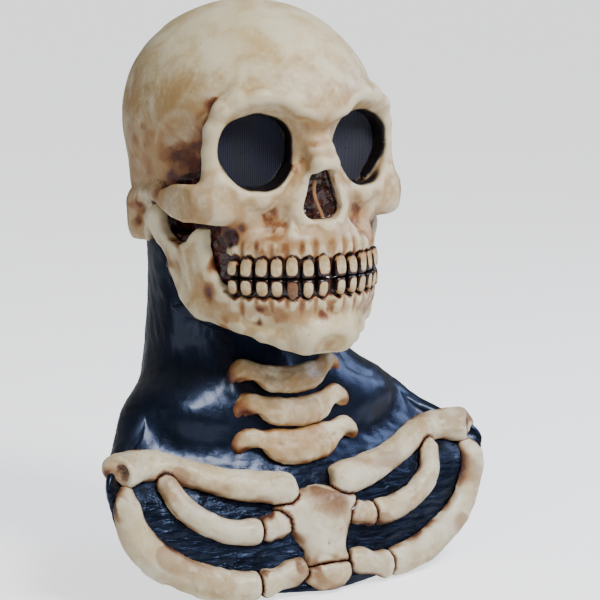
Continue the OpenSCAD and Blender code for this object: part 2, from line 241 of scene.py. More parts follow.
def near(points, centre, radii):
    """1 at a place on the sculpture and 0 past the given radii, the same on both sides."""
    p = np.abs(points[:, 0]) if centre[0] > 0 else points[:, 0]
    q = np.stack([p, points[:, 1], points[:, 2]], 1)
    return 1 - fade((((q - centre) / radii) ** 2).sum(1) ** 0.5, 0.35, 1.0)

# %% [markdown]
# ## The skull
# Its latex skin carries every bump that the light catches: brow ridges, flat cheek arches with a
# sunken temple above them, the hollow under each cheekbone and a ridge over every tooth root. Each
# is one lump or one carving tool below, in the order a sculptor would work, from the egg of the
# brain case to the smallest ridges.
# %% Where the teeth stand
ARCH_WIDE, ARCH_DEEP, ARCH_Y = 70.0, 66.0, -58.0    # mm, the oval that both rows of teeth follow
TEETH_PER_SIDE = 7


def arch(turn, inset=0.0):
    """A point of the tooth oval, `turn` degrees from the front, as x and y."""
    a = math.radians(turn)
    return (ARCH_WIDE - inset) * math.sin(a), ARCH_Y - (ARCH_DEEP - inset) * math.cos(a)


FIRST_TOOTH, TOOTH_STEP = 6.3, 9.85                 # degrees round the oval
TOOTH_TURNS = [FIRST_TOOTH + TOOTH_STEP * i for i in range(TEETH_PER_SIDE)]
print("teeth are", round((ARCH_WIDE + ARCH_DEEP) / 2 * math.radians(TOOTH_STEP), 1), "mm apart")


# %% Straight-sided tools: an outline pushed through the clay
def outline_distance(u, v, corners):
    """Distance in mm from (u, v) to a closed outline, less than 0 inside it."""
    gap = np.full(np.broadcast(u, v).shape, 1e9, np.float32)
    inside = np.zeros(gap.shape, bool)
    for (au, av), (bu, bv) in zip(corners, corners[1:] + corners[:1]):
        eu, ev = bu - au, bv - av
        t = np.clip(((u - au) * eu + (v - av) * ev) / (eu * eu + ev * ev), 0, 1)
        gap = np.minimum(gap, (u - au - t * eu) ** 2 + (v - av - t * ev) ** 2)
        crosses = ((av > v) != (bv > v)) & (u < eu * (v - av) / (ev if ev else 1e-9) + au)
        inside ^= crosses
    return np.where(inside, -np.sqrt(gap), np.sqrt(gap))


def push(p, centre, turn, corners, radius, behind):
    """The outline, grown by a radius, pushed forward from `behind` mm behind a place."""
    c, s = math.cos(math.radians(turn)), math.sin(math.radians(turn))
    across = c * (p[0] - centre[0]) + s * (p[1] - centre[1])
    ahead = s * (p[0] - centre[0]) - c * (p[1] - centre[1])
    flat = outline_distance(across, p[2] - centre[2], corners) - radius
    return np.maximum(flat, -(ahead + behind))


EYE = (46.0, -89.0, -20.0)
EYE_TURN = 12.0
POCKET_DEEP, THROUGH_DEEP, SLEEVE_DEEP = 14, 40, 17  # mm that each eye cut reaches behind the rim
NEAR_TEMPLE = 58                                     # mm from the middle, past which an eye is walled
EYE_CORNERS, EYE_ROUND = [(-8.0, 6.0), (0.0, 8.5), (8.5, 5.5), (9.0, 1.0), (3.0, -7.0), (-4.5, -7.5),
                          (-8.5, -1.0)], 20.0
NOSE = (0.0, -118.0, 0.0)
NOSE_CORNERS, NOSE_ROUND = [(-1.5, -41.0), (1.5, -41.0), (8.0, -62.5), (-8.0, -62.5)], 8.8


# %% A flat plank of clay that runs front to back, for the cheek arch
def plank(p, stops, half_thick, corner):
    """A plank through stops of (y, x, z, half height), from the back to the front."""
    ys, xs, zs, hs = (np.array(v, float) for v in zip(*stops))
    x, z, h = (np.interp(p[1], ys[::-1], v[::-1]) for v in (xs, zs, hs))
    u = np.abs(p[0] - x) - (half_thick - corner)
    v = np.abs(p[2] - z) - (h - corner)
    w = np.maximum(ys[-1] - p[1], p[1] - ys[0]) + corner
    out = np.maximum(u, 0) ** 2 + np.maximum(v, 0) ** 2 + np.maximum(w, 0) ** 2
    return np.sqrt(out) + np.minimum(np.maximum(np.maximum(u, v), w), 0) - corner


# %% Brain case, temples and brow
STEP = 1.3 * FINE
skull = Clay((-103, -136, -114), (103, 126, 98), STEP)
skull.egg((0, 0, 0), (93, 119, CASE_HALF_HEIGHT), 1, both=False)
skull.egg((0, 20, -58), (82, 74, 74), 18, both=False)
skull.egg((0, 62, -52), (62, 44, 44), 18, both=False)                  # back of the head
skull.egg((92, -50, -24), (22, 29, 28), 9, tool=carve)                 # temple
skull.egg((88, -61, -34), (21, 15, 19), 5, tool=carve)
skull.rope([(7, -105, 3, 8), (26, -103, 13, 8.5), (44, -95, 19, 8.5), (58, -87, 19, 8.5),
            (70, -82, 11, 8), (75.5, -78, -4, 7.5), (77, -77, -20, 7), (77, -78, -38, 8.5)], 7)
skull.egg((0, -127, -9), (20, 20.5, 12), 12, tool=carve, both=False)    # dip over the nose

# %% Cheek arch and cheekbone
ARCH_STOPS = [(-2, 83, -56, 5), (-12, 87, -57, 5.5), (-26, 89, -58.5, 8), (-45, 91, -58, 12.5),
              (-62, 91, -58.5, 14), (-76, 88, -58, 13.5), (-88, 79, -58, 12)]
skull.work(lambda p: plank(p, ARCH_STOPS, 4.4, 3.5), (60, -100, -90), (104, 10, -30), 6)
skull.egg((77, -79, -56), (14, 12, 15), 9, lean=(0, 0, 28))
skull.egg((66, -85, -63), (15, 10, 11), 9)
skull.egg((59, -56, -80), (11, 30, 28), 7)                              # wall inside the arch

# %% Upper jaw: the block in the middle, the ridge that holds the teeth, the nose bones
skull.egg((0, -88, -64), (27, 30, 40), 12, both=False)
skull.egg((30, -86, -66), (26, 18, 28), 12)
skull.rope([(*arch(t, 12.5), -88, 10) for t in range(0, 60, 8)], 8)
skull.rope([(*arch(t, 11.0), -98, 8.5) for t in range(0, 68, 8)], 4)
skull.egg((41, -108, -69), (10, 12, 12), 12, tool=carve)                # hollow beside the nose
skull.rope([(16, -102, -38, 6.5), (18, -103, -50, 6), (19, -103, -62, 6), (14, -107, -74, 6)], 6)
skull.rope([(0, -115, -76, 4.5), (0, -113, -86, 5)], 6)
skull.egg((75, 35, -80), (12, 16, 22), 9, lean=(12, 0, 0))               # bump behind the ear
skull.rope([(78, 10, -64, 5), (81, 14, -76, 3.5), (80, 18, -88, 2.5), (78, 22, -97, 2)], 4)
skull.rope([(84, 0, -56, 5), (82, 16, -58, 5), (78, 40, -66, 7)], 8)
print("skull clay holds", skull.field.size, "cells")

# %% Carve the eyes and the nose, and raise a ridge over each tooth root
skull.egg((45, -111, -18), (32, 28, 35), 8, tool=carve)                  # sloping orbit
skull.rope([(17, -113, -5, 8), (21, -111, -22, 10), (27, -113, -38, 8)], 9, tool=carve)
skull.rope([(1.5, -101, -9, 6), (3.5, -107, -20, 6.5), (4.5, -114.5, -30, 6.5),
            (4.5, -115.5, -34, 6)], 6)
skull.rope([(22, -98, -34, 6), (32, -95.5, -47, 7), (45, -94, -54, 8), (60, -89, -52, 8),
            (73, -84, -42, 7.5)], 6)                                       # lip under the eye
skull.work(lambda p: push(p, EYE, EYE_TURN, EYE_CORNERS, EYE_ROUND, POCKET_DEEP),
           (10, -136, -58), (90, -66, 18), 4, carve)
for row, turn in enumerate(TOOTH_TURNS):
    high = (-77, -79, -73, -80, -82, -84, -86)[row]
    skull.rope([(*arch(turn, 4.8), -100, 4.3), (*arch(turn, 5.0), -92, 4.0),
                (*arch(turn * 0.98, 7.6), (high - 92) / 2, 3.0),
                (*arch(turn * 0.96, 13.0), high + 1, 1.6)], 2.4)


def scallop(clay, z):
    """Cuts the skin's edge back in an arc over each tooth."""
    for turn in TOOTH_TURNS:
        clay.rope([(*arch(turn, -6.0), z, 6.2), (*arch(turn, 10.0), z, 6.2)], 1.2, tool=carve)


scallop(skull, -103)
skull.work(lambda p: push(p, NOSE, 0, NOSE_CORNERS, NOSE_ROUND, 18),
           (-26, -136, -86), (26, -96, -22), 3, carve, both=False)

# %% [markdown]
# ## From clay to a thin cast skin
# The mould gives the outside and the latex is an even coat inside it. In a distance field that is
# one step: keep what is inside the surface but less than a wall's thickness deep. Solidify would
# do this on a mesh, but it crosses itself in the tight grooves round the eyes.
# %% Hollow, open and mesh a field
BASE_Z = -96.5                       # mm, the lower rim of the skull skin
MOST_TRIANGLES = 190_000


def only(piece):
    """Selects one piece and nothing else, ready for an operator."""
    if bpy.context.object and bpy.context.object.mode != "OBJECT":
        bpy.ops.object.mode_set(mode="OBJECT")
    bpy.ops.object.select_all(action="DESELECT")
    piece.select_set(True)
    bpy.context.view_layer.objects.active = piece
    return piece


def apply_modifier(piece, kind, **settings):
    """Adds a modifier with its settings and applies it."""
    only(piece)
    modifier = piece.modifiers.new(kind.title(), kind)
    for key, value in settings.items():
        setattr(modifier, key, value)
    bpy.ops.object.modifier_apply(modifier=modifier.name)


def edit_all(operator, **settings):
    """Runs an edit-mode operator on all of the active piece."""
    bpy.ops.object.mode_set(mode="EDIT")
    bpy.ops.mesh.select_all(action="SELECT")
    operator(**settings)
    bpy.ops.object.mode_set(mode="OBJECT")


def smooth(piece):
    """Shades every face of a piece smooth."""
    for face in piece.data.polygons:
        face.use_smooth = True


def triangles(piece):
    """How many triangles a piece has."""
    return sum(len(p.vertices) - 2 for p in piece.data.polygons)


def thin_out(piece, most=MOST_TRIANGLES):
    """Collapses the flattest edges until the piece has few enough triangles."""
    count = triangles(piece)
    if count > most:
        apply_modifier(piece, "DECIMATE", ratio=most / count, use_collapse_triangulate=True)
    smooth(piece)
    print(piece.name, count, "->", triangles(piece), "triangles")


def drop_crumbs(piece):
    """Deletes the small loose bits that cutting a field can leave."""
    mesh = bmesh.new()
    mesh.from_mesh(piece.data)
    left, islands = set(mesh.verts), []
    while left:
        island, edge = set(), [left.pop()]
        while edge:
            vert = edge.pop()
            island.add(vert)
            for link in vert.link_edges:
                other = link.other_vert(vert)
                if other in left:
                    left.discard(other)
                    edge.append(other)
        islands.append(island)
    islands.sort(key=len)
    for island in islands[:-1]:
        bmesh.ops.delete(mesh, geom=list(island), context="VERTS")
    mesh.to_mesh(piece.data)
    mesh.free()
    print(piece.name, "lost", len(islands) - 1, "crumbs")


def spots(piece):
    """The vertices of a piece, in mm about the middle of the brain case."""
    flat = np.zeros(len(piece.data.vertices) * 3, np.float32)
    piece.data.vertices.foreach_get("co", flat)
    return to_case(flat.reshape(-1, 3))


def normals(piece):
    """The outward direction at each vertex."""
    flat = np.zeros(len(piece.data.vertices) * 3, np.float32)
    piece.data.vertices.foreach_get("normal", flat)
    return flat.reshape(-1, 3)


def place(piece, points):
    """Moves the vertices of a piece to new spots, in mm about the middle of the brain case."""
    piece.data.vertices.foreach_set("co", to_frame(points).astype(np.float32).ravel())
    piece.data.update()


def push_out(piece, height):
    """Moves each vertex along its normal, by one height in mm or by a height for each."""
    at = spots(piece)
    place(piece, at + normals(piece) * np.broadcast_to(height, len(at))[:, None])


def paint(piece, name, value):
    """Stores numbers from 0 to 1 for the paint to read, one for each vertex or one for all."""
    value = np.broadcast_to(value, len(piece.data.vertices))
    layer = piece.data.attributes.get(name) or piece.data.attributes.new(name, "FLOAT", "POINT")
    layer.data.foreach_set("value", np.clip(value, 0, 1).astype(np.float32))


def grid_of(clay):
    """The clay's x, y and z, shaped so that they spread over its grid."""
    return tuple(a.reshape([-1 if n == i else 1 for n in range(3)]) for i, a in enumerate(clay.axes))


# %% Hollow the skull, and open it at the neck, the eyes and the nose
x, y, z = grid_of(skull)
shell = np.maximum(skull.field, -(skull.field + WALL))
for side in (1, -1):
    pocket = push((side * x, y, z), EYE, EYE_TURN, EYE_CORNERS, EYE_ROUND - 0.5, POCKET_DEEP)
    through = push((side * x, y, z), EYE, EYE_TURN, EYE_CORNERS, EYE_ROUND - 0.5, THROUGH_DEEP)
    shell = np.maximum(shell, -np.minimum(pocket, np.maximum(through, side * x - NEAR_TEMPLE)))
    sleeve = push((side * x, y, z), EYE, EYE_TURN, EYE_CORNERS, EYE_ROUND + 2.9, SLEEVE_DEEP)
    sleeve = np.maximum(np.maximum(sleeve, -pocket), np.maximum(NEAR_TEMPLE - side * x, -82 - y))
    shell = np.minimum(shell, sleeve)
shell = np.maximum(shell, -push((x, y, z), NOSE, 0, NOSE_CORNERS, NOSE_ROUND - 0.2, 34))
shell = np.maximum(shell, BASE_Z - 4.0 * fade(-y, 76, 84) - z)
skull_latex = skull.mesh("skull_latex", shell)
drop_crumbs(skull_latex)
thin_out(skull_latex)

# %% [markdown]
# ## Where the brown wash settles
# The maker floods the ivory skin with thin brown paint and wipes it off: the paint stays in every
# groove and is rubbed from every ridge. How far a spot lies below the average of its
# surroundings says the same thing, so it is stored on the mesh for the paint to read. Ambient
# occlusion baking could do this, but it needs images and a renderer's setting.
# %% Measure the hollows of a sculpture
def store_hollows(piece, clay):
    """Stores how hollow each spot is, at the scale of a groove and of a socket."""
    at = spots(piece)
    fine = -clay.sample(at, blurred(clay.field, 2.6, clay.step))
    broad = -clay.sample(at, blurred(clay.field, 7.5, clay.step))
    paint(piece, "groove", 0.5 + fine / 1.6)
    paint(piece, "socket", 0.5 + broad / 6.0)
    return fine, broad


fine, broad = store_hollows(skull_latex, skull)
print("grooves run from", fine.min().round(2), "to", fine.max().round(2), "mm")

# %% Touches of wash, and the dark wet-looking hollows, partly painted shade
def touches(at, spots_of_wash, seed):
    """Brushed patches of wash: each has a place, a reach and a strength, broken up by mottling."""
    total = np.zeros(len(at))
    for centre, reach, strength in spots_of_wash:
        total = np.maximum(total, strength * near(at, centre, reach))
    return np.clip(total * (0.6 + 0.6 * lumps(at, 9, seed)), 0, 1)


at = spots(skull_latex)
wash = touches(at, (
    ((70, -60, -32), (22, 24, 32), 1.8), ((76, -40, -26), (22, 36, 30), 1.1),
    ((88, 0, -24), (26, 80, 44), 0.5), ((60, -84, 14), (30, 20, 22), 0.35),
    ((22, -100, -12), (7, 12, 11), 0.7), ((28, -100, -40), (14, 16, 12), 0.5),
    ((0.1, -112, -14), (20, 12, 5), 0.7), ((20, -104, -28), (10, 12, 18), 0.5),
    ((34, -100, -68), (24, 24, 26), 0.34), ((62, -84, -80), (18, 20, 16), 1.1),
    ((80, 30, -74), (16, 26, 26), 0.9), ((12, -112, -38), (10, 14, 16), 0.5),
    ((40, -106, -88), (40, 30, 12), 0.6), ((88, -16, -56), (16, 18, 12), 0.6)), 5)


def root_wave(at):
    """0 over a tooth and 1 between two teeth, and whether a spot is on the tooth oval's outside."""
    turn = np.degrees(np.arctan2(np.abs(at[:, 0]), ARCH_Y - at[:, 1]))
    reach = np.hypot(at[:, 0] / ARCH_WIDE, (at[:, 1] - ARCH_Y) / ARCH_DEEP)
    wave = 0.5 - 0.5 * np.cos(2 * math.pi * (turn - TOOTH_TURNS[0]) / TOOTH_STEP)
    return wave, (turn < 69) * fade(reach, 0.72, 0.84)


back = (at[:, 1] + 76) / 70
hollow = fade(26 - 62 * np.clip(back, 0, 1) - at[:, 2] + 9 * lumps(at, 14, 8), 0, 16) \
    * fade(at[:, 2], -64, -54) * fade(back, -0.05, 0.05) * (1 - fade(back, 0.75, 1.05)) \
    * fade(78.5 + 0.3 * (at[:, 1] + 72) - np.abs(at[:, 0]), -1.5, 1.5) * (np.abs(at[:, 0]) > 50)
wash = np.maximum(wash, hollow * (0.9 + 0.25 * lumps(at, 7, 9)))       # sunken temple
between, by_teeth = root_wave(at)
wash = np.maximum(wash, between ** 1.5 * by_teeth * fade(-at[:, 2], 76, 90)
                  * (0.6 + 0.35 * lumps(at, 8, 7)))
wash = np.maximum(wash, by_teeth * fade(-94.4 - 3.7 * between - at[:, 2], 0, 1.8))
# Maroon-black under and behind the cheek arch, low in the temple and under the cheekbone: partly recess
# paint, partly painted shade
behind_arch = fade(-at[:, 2], 60, 66) * (1 - fade(np.abs(at[:, 0]), 84.5, 86.5)) \
    * fade(at[:, 1], -80, -70) * (1 - fade(at[:, 1], 2, 10)) * fade(np.abs(at[:, 0]), 55, 60)
deep = np.maximum.reduce([
    near(at, (69, -62, -34), (18, 20, 26)), near(at, (72, -46, -46), (15, 36, 12)) * 0.9,
    behind_arch, near(at, (64, -68, -90), (13, 16, 16)) * (at[:, 2] < -76),
    near(at, (61, -80, -84), (9, 14, 15)) * 0.75,
    hollow * fade(-at[:, 1], 52, 66) * fade(-at[:, 2], 6, 34) * 0.8])
deep *= (np.abs(at[:, 0]) > 40)
# Black on the walls of the eye pockets: partly black paint, partly painted shade inside them
eye_at = [np.abs(at[:, 0]), at[:, 1], at[:, 2]]
lined = -push(eye_at, EYE, EYE_TURN, EYE_CORNERS, EYE_ROUND + 0.6, THROUGH_DEEP)
pit = fade(lined, -1.2, 0.2) * (at[:, 1] < -40) * (at[:, 2] > -60)
plain = 1 - 0.9 * fade(np.abs(at[:, 0]), 82, 87) * (at[:, 1] < 4) * fade(-at[:, 2], 36, 44)
paint(skull_latex, "groove", 0.5 + plain * fine / 1.6)
paint(skull_latex, "socket", 0.5 + plain * broad / 6.0)
push_out(skull_latex, 0.45 * lumps(at, 34, 1) + 0.2 * lumps(at, 11, 2) + 1.2 * deep * lumps(at, 7, 3))
paint(skull_latex, "wash", wash)
paint(skull_latex, "deep", deep)
paint(skull_latex, "pit", pit)
# Paler towards the crown: partly wear, partly painted light falling from above
paint(skull_latex, "wear_and_top_light", fade(at[:, 2], -10, 95) * 0.8 + 0.1 + 0.1 * lumps(at, 26, 6))

# %% [markdown]
# ## The jaw
# The jaw is the one piece that moves: on the real mask it is tied to the wearer's chin, so it is
# sculpted as its own lump. Its flat branch is an outline seen from the side and pushed through a
# leaning slab, and its body is a wall that follows the oval of the teeth and tucks in below.
# %% Model the jaw
RAMUS = [(1, -75), (-1, -69), (-6, -66.5), (-10, -69), (-13, -77), (-19, -85), (-29, -91),
         (-41, -93), (-51, -89), (-57, -82), (-62, -78), (-66, -79), (-66, -88), (-63, -99),
         (-63, -110), (-68, -121), (-78, -129), (-80, -150), (-54, -148), (-39, -141),
         (-31, -127), (-25, -114),
         (-18, -103), (-9, -92), (0, -82)]           # y and z of the branch, seen from the side
JAW_TOP, JAW_CUT = -131.0, -126.0
jaw = Clay((-101, -134, -180), (101, 12, -60), STEP)


def branch(p):
    """The flat branch of the jaw, 9 mm thick, which leans in towards the chin."""
    middle = 83.5 - 0.2 * np.maximum(0, -85 - p[2]) - 0.45 * np.maximum(0, -48 - p[1])
    flat = outline_distance(p[1], p[2], RAMUS) + 2.0
    u = np.abs(p[0] - middle) - 2.4
    return np.sqrt(np.maximum(u, 0) ** 2 + np.maximum(flat, 0) ** 2) \
        + np.minimum(np.maximum(u, flat), 0) - 2.6


def body(p):
    """The curved wall under the teeth, from the chin round to the branch."""
    turn = np.degrees(np.arctan2(p[0], -(p[1] - ARCH_Y)))
    foot = np.interp(np.abs(turn), [0, 14, 30, 50, 75], [-162, -163, -160, -151, -141])
    t = np.clip((p[2] - JAW_TOP) / (foot - JAW_TOP), 0, 1)
    wide = 61.0 * (1 - t) + 49.5 * t
    deep = 57.5 * (1 - t) + 51.0 * t
    across = (np.sqrt((p[0] / wide) ** 2 + ((p[1] - ARCH_Y) / deep) ** 2) - 1) * (wide + deep) / 2
    middle, half = (JAW_TOP + foot) / 2, (JAW_TOP - foot) / 2
    u = np.abs(across) - 2.0
    v = np.abs(p[2] - middle) - half
    w = np.abs(turn) - 73
    far = np.sqrt(np.maximum(u, 0) ** 2 + np.maximum(v, 0) ** 2 + np.maximum(w, 0) ** 2)
    return far + np.minimum(np.maximum(np.maximum(u, v), w), 0) - 6.5


jaw.work(branch, (58, -88, -160), (101, 10, -60), 1)
jaw.rope([(87, -8, -72, 6), (86, -3, -77, 5.5), (83, -9, -92, 3.5)], 6)               # hinge head
jaw.rope([(79, -22, -114, 4), (75, -35, -133, 5), (70, -47, -143, 5)], 7)          # rear corner
jaw.work(body, (-80, -134, -176), (80, -34, -116), 8, both=False)
jaw.rope([(69, -52, -140, 8), (61, -70, -142, 8.5), (54, -82, -148, 8)], 9)
jaw.rope([(73, -62, -98, 3), (70, -65, -114, 4), (65, -73, -128, 5), (59, -83, -136, 5),
          (52, -92, -141, 4)], 6)                                                  # oblique ridge
jaw.egg((14.5, -111, -158), (14, 13.5, 13), 9)                                     # chin
jaw.egg((0, -112, -153), (18, 13.5, 15), 9, both=False)
jaw.rope([(0, -112, -165, 6), (16, -110, -165, 6.5), (30, -103, -163, 6), (42, -93, -158, 6),
          (52, -80, -151, 5), (61, -66, -146, 5)], 7)
jaw.egg((0, -129, -169), (12, 12, 9), 9, tool=carve, both=False)                    # notch under it
jaw.egg((0, -134, -140), (22, 12, 8), 9, tool=carve, both=False)                   # dip over it
for row, turn in enumerate(TOOTH_TURNS):
    low = (-147, -150, -153, -148, -145, -142, -140)[row]
    jaw.rope([(*arch(turn, 4.2), -127, 4.2), (*arch(turn, 5.6), -135, 4.0),
              (*arch(turn * 0.98, 8.6), (low - 135) / 2, 3.0),
              (*arch(turn * 0.96, 14), low - 2, 1.6)], 2.2)
scallop(jaw, -123.2)
x, y, z = grid_of(jaw)
teeth_room = np.maximum(np.maximum(JAW_CUT - z, y + 77 + 0 * x), np.abs(x) - 72)
jaw.field = np.maximum(jaw.field, -teeth_room)
inside = np.roll(jaw.field, (int(round(6 / STEP)), int(round(2 / STEP))), (1, 2)) + 2.4
jaw_latex = jaw.mesh("jaw_latex", np.maximum(jaw.field, -inside))
drop_crumbs(jaw_latex)
thin_out(jaw_latex)
fine, broad = store_hollows(jaw_latex, jaw)

# %% Wash and stains on the jaw
at = spots(jaw_latex)
wash = touches(at, (
    ((70, -66, -118), (10, 14, 26), 1.1), ((80, -24, -112), (14, 24, 26), 0.7),
    ((40, -100, -140), (40, 30, 12), 0.8), ((0.1, -122, -138), (30, 14, 12), 0.8),
    ((60, -70, -146), (20, 26, 14), 0.6), ((0.1, -120, -168), (9, 14, 9), 0.6),
    ((84, -40, -92), (12, 26, 12), 0.8)), 15)
between, by_teeth = root_wave(at)
wash = np.maximum(wash, between ** 1.5 * by_teeth * fade(at[:, 2], -150, -136)
                  * (0.6 + 0.35 * lumps(at, 8, 16)))
wash = np.maximum(wash, by_teeth * fade(at[:, 2] + 132.1 - 3.7 * between, 0, 1.8))
# Maroon-black in the hollow inside the jaw's branch: partly recess paint, partly painted shade
deep = near(at, (60, -64, -114), (9, 20, 24)) * (np.abs(at[:, 0]) < 67) * (np.abs(at[:, 0]) > 30)
push_out(jaw_latex, 0.35 * lumps(at, 30, 11) + 0.2 * lumps(at, 10, 12))
paint(jaw_latex, "wash", wash)
paint(jaw_latex, "deep", deep)
paint(jaw_latex, "wear_and_top_light", 0.35 + 0.3 * lumps(at, 30, 13))

# %% [markdown]
# ## Teeth
# Each tooth is its own little casting, set into the gum by hand, so no two stand quite alike. One
# is modelled from a cube: cut into a few faces, rounded at the root, waisted and smoothed. The
# rest are copies with their own width, height, lean and wear. A ring of brown stays round each.
# %% Model one tooth
def new_tooth(name, width, height, thick, root_width, crown):
    """A tooth in mm, standing on its biting edge at the origin and facing -Y."""
    bpy.ops.object.select_all(action="DESELECT")
    bpy.ops.mesh.primitive_cube_add(size=1)
    tooth = bpy.context.object
    tooth.name = name
    edit_all(bpy.ops.mesh.subdivide, number_cuts=2)
    for vert in tooth.data.vertices:
        x, y, z = vert.co + Vector((0, 0, 0.5))
        edge = abs(x) * 2
        w = np.interp(z, (0, 0.33, 0.67, 1), (0.99, 1.02, 0.86, root_width))
        bulge = (1 - edge ** 2) * np.interp(z, (0, 0.33, 0.67, 1), (0.5, 1.0, 0.8, 0.3)) * (y < 0)
        foot = crown * (1 - edge) if z < 0.01 else 0
        drop = 0.2 * edge ** 2 if z > 0.99 else 0
        vert.co = (x * width * w * 1.1, y * thick - bulge * 1.6,
                   ((z - drop) * 1.14 - 0.06) * height + foot)
    apply_modifier(tooth, "SUBSURF", levels=2, render_levels=2)
    flat = np.array([v.co for v in tooth.data.vertices])
    u = np.abs(flat[:, 0]) / (width * 0.5)
    v = np.abs(flat[:, 2] / height - 0.5) / 0.5
    rim = (u ** 3.2 + v ** 3.2) ** (1 / 3.2)
    back = fade(flat[:, 1] / thick, -0.25, 0.1)
    paint(tooth, "stain", np.maximum(fade(rim, 0.76, 1.0), back))
    paint(tooth, "tall", flat[:, 2] / height)
    return tooth


def join_all(pieces, name):
    """Joins pieces into the first of them."""
    only(pieces[0])
    for piece in pieces:
        piece.select_set(True)
    bpy.ops.object.join()
    pieces[0].name = pieces[0].data.name = name
    smooth(pieces[0])
    return pieces[0]


# %% Set the two rows
BITE_Z = -112.8                              # mm, where the two rows meet
OFF_BITE = {"upper": 0.6, "lower": -1.8}     # mm from there to each row's biting edges
WIDTHS = {"upper": (10.4, 9.4, 9.6, 9.6, 10.4, 10.2, 9.0),       # mm, from the front to the back
          "lower": (8.4, 8.6, 9.0, 9.0, 9.6, 9.4, 8.6)}
HEIGHTS = {"upper": (16.4, 14.6, 16.4, 15.4, 15.2, 14.4, 12.2),
           "lower": (13.0, 13.2, 14.0, 12.8, 12.6, 12.0, 11.2)}


def set_row(kind, seed):
    """Fourteen teeth round the oval, root up for the upper row and root down for the lower."""
    dice = np.random.default_rng(seed)
    row = []
    for side in (-1, 1):
        for index, turn in enumerate(TOOTH_TURNS):
            front = index < 3
            tooth = new_tooth(f"{kind}_{index}", WIDTHS[kind][index] + dice.uniform(-0.3, 0.4),
                              HEIGHTS[kind][index] + dice.uniform(-0.6, 0.6), 7.5,
                              0.52 if front else 0.6, 0 if front else 0.7)
            chipped = kind == "upper" and side < 0 and index == 2
            if chipped:
                edit_all(bpy.ops.mesh.bisect, plane_co=(3.4, 0, 2.6), plane_no=(0.7, 0.1, -0.72),
                         use_fill=True, clear_outer=True)
            tint = 1.0 if kind == "lower" and side < 0 and index == 2 else dice.uniform(0, 0.25)
            paint(tooth, "tint", tint)
            x, y = arch(side * (turn + dice.uniform(-0.5, 0.5)), 2.2 + dice.uniform(-0.3, 0.3))
            spin = Matrix.Rotation(math.radians(side * turn + dice.uniform(-5, 5)), 4, "Z")
            lean = Matrix.Rotation(math.radians(dice.uniform(-3, 3)), 4, "Y")
            tip = Matrix.Rotation(math.radians(dice.uniform(-2, 3)), 4, "X")
            flip = Matrix.Rotation(math.pi, 4, "Y") if kind == "lower" else Matrix.Identity(4)
            at = Vector((x, y, BITE_Z + OFF_BITE[kind] + dice.uniform(-0.5, 0.5)))
            tooth.data.transform(Matrix.Translation(at) @ spin @ lean @ tip @ flip)
            tooth.data.transform(Matrix.Scale(0.001, 4) @ Matrix.Translation((0, 0, CASE_Z)))
            tooth.location = (0, 0, 0)
            row.append(tooth)
    return join_all(row, f"{kind}_row_of_teeth")


upper_row = set_row("upper", 21)
lower_row = set_row("lower", 22)
print("each row of teeth has", triangles(upper_row), "triangles")

# %% [markdown]
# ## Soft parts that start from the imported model
# The gums, the nose lining, the black skins and the bones lie against each other, so each starts
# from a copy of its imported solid. The copy's loose triangles are merged first. A voxel remesh then
# gives even faces, a smoothing rounds them, and lumps are pushed out for the hand-worked surface.
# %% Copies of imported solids
def copy_of(node, name):
    """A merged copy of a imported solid, free of the body it rides on."""
    piece = bpy.data.objects.new(name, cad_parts[node].data.copy())
    bpy.context.scene.collection.objects.link(piece)
    piece.data.materials.clear()
    only(piece)
    edit_all(bpy.ops.mesh.remove_doubles, threshold=0.00001)
    return piece


def reworked(node, name, voxel_mm, rounds=6, grow_mm=0.0):
    """A copy with even faces, its edges rounded by smoothing and then grown back a little."""
    piece = copy_of(node, name)
    apply_modifier(piece, "REMESH", mode="VOXEL", voxel_size=voxel_mm / 1000, adaptivity=0.0)
    if rounds:
        apply_modifier(piece, "SMOOTH", factor=0.5, iterations=rounds)
    if grow_mm:
        push_out(piece, grow_mm)
    smooth(piece)
    return piece


def hollows_of_mesh(piece, rounds=14):
    """How far each spot lies below the average of its neighbours, in mm, more when hollow."""
    edges = np.zeros(len(piece.data.edges) * 2, np.int64)
    piece.data.edges.foreach_get("vertices", edges)
    a, b = edges.reshape(-1, 2).T
    start = spots(piece)
    soft = start.copy()
    count = np.bincount(np.concatenate([a, b]), minlength=len(start))[:, None] + 1.0
    for _ in range(rounds):
        total = soft.copy()
        for axis in range(3):
            total[:, axis] += (np.bincount(a, soft[b, axis], len(start))
                               + np.bincount(b, soft[a, axis], len(start)))
        soft = total / count
    return ((soft - start) * normals(piece)).sum(1)


# %% Gums
def gum_strip(node, name, way, seed):
    """A strip of gum with a bead between the teeth and a lumpy, wet surface."""
    piece = reworked(node, name, 0.9, 3)
    at = spots(piece)
    reach = np.hypot(at[:, 0] / ARCH_WIDE, (at[:, 1] - ARCH_Y) / ARCH_DEEP)
    most = 1 - 4.4 / ARCH_DEEP
    tuck = np.where(reach > most, (most + 0.25 * (reach - most)) / reach, 1)
    at[:, 0], at[:, 1] = at[:, 0] * tuck, ARCH_Y + (at[:, 1] - ARCH_Y) * tuck
    at[:, 2] -= 3.0 * fade(-at[:, 2], 106, 111) * (way > 0)
    place(piece, at)
    push_out(piece, 0.7 * lumps(at, 6, seed) + 0.3 * lumps(at, 3, seed + 1))
    return piece


upper_gums = gum_strip("upper_gum", "upper_gums", 1, 31)
lower_gums = gum_strip("lower_gum", "lower_gums", -1, 33)

# %% Nose: a lumpy wet lining, and the thin curved wall that divides it
nose_hollow = reworked("nose_lining", "nose_hollow", 1.1, 3)
at = spots(nose_hollow)
at[:, 1] = np.where(at[:, 1] < -102, -102 + 0.2 * (at[:, 1] + 102), at[:, 1])
place(nose_hollow, at)
push_out(nose_hollow, 1.3 * lumps(at, 7, 35) + 0.5 * lumps(at, 3.5, 36) - 0.4)

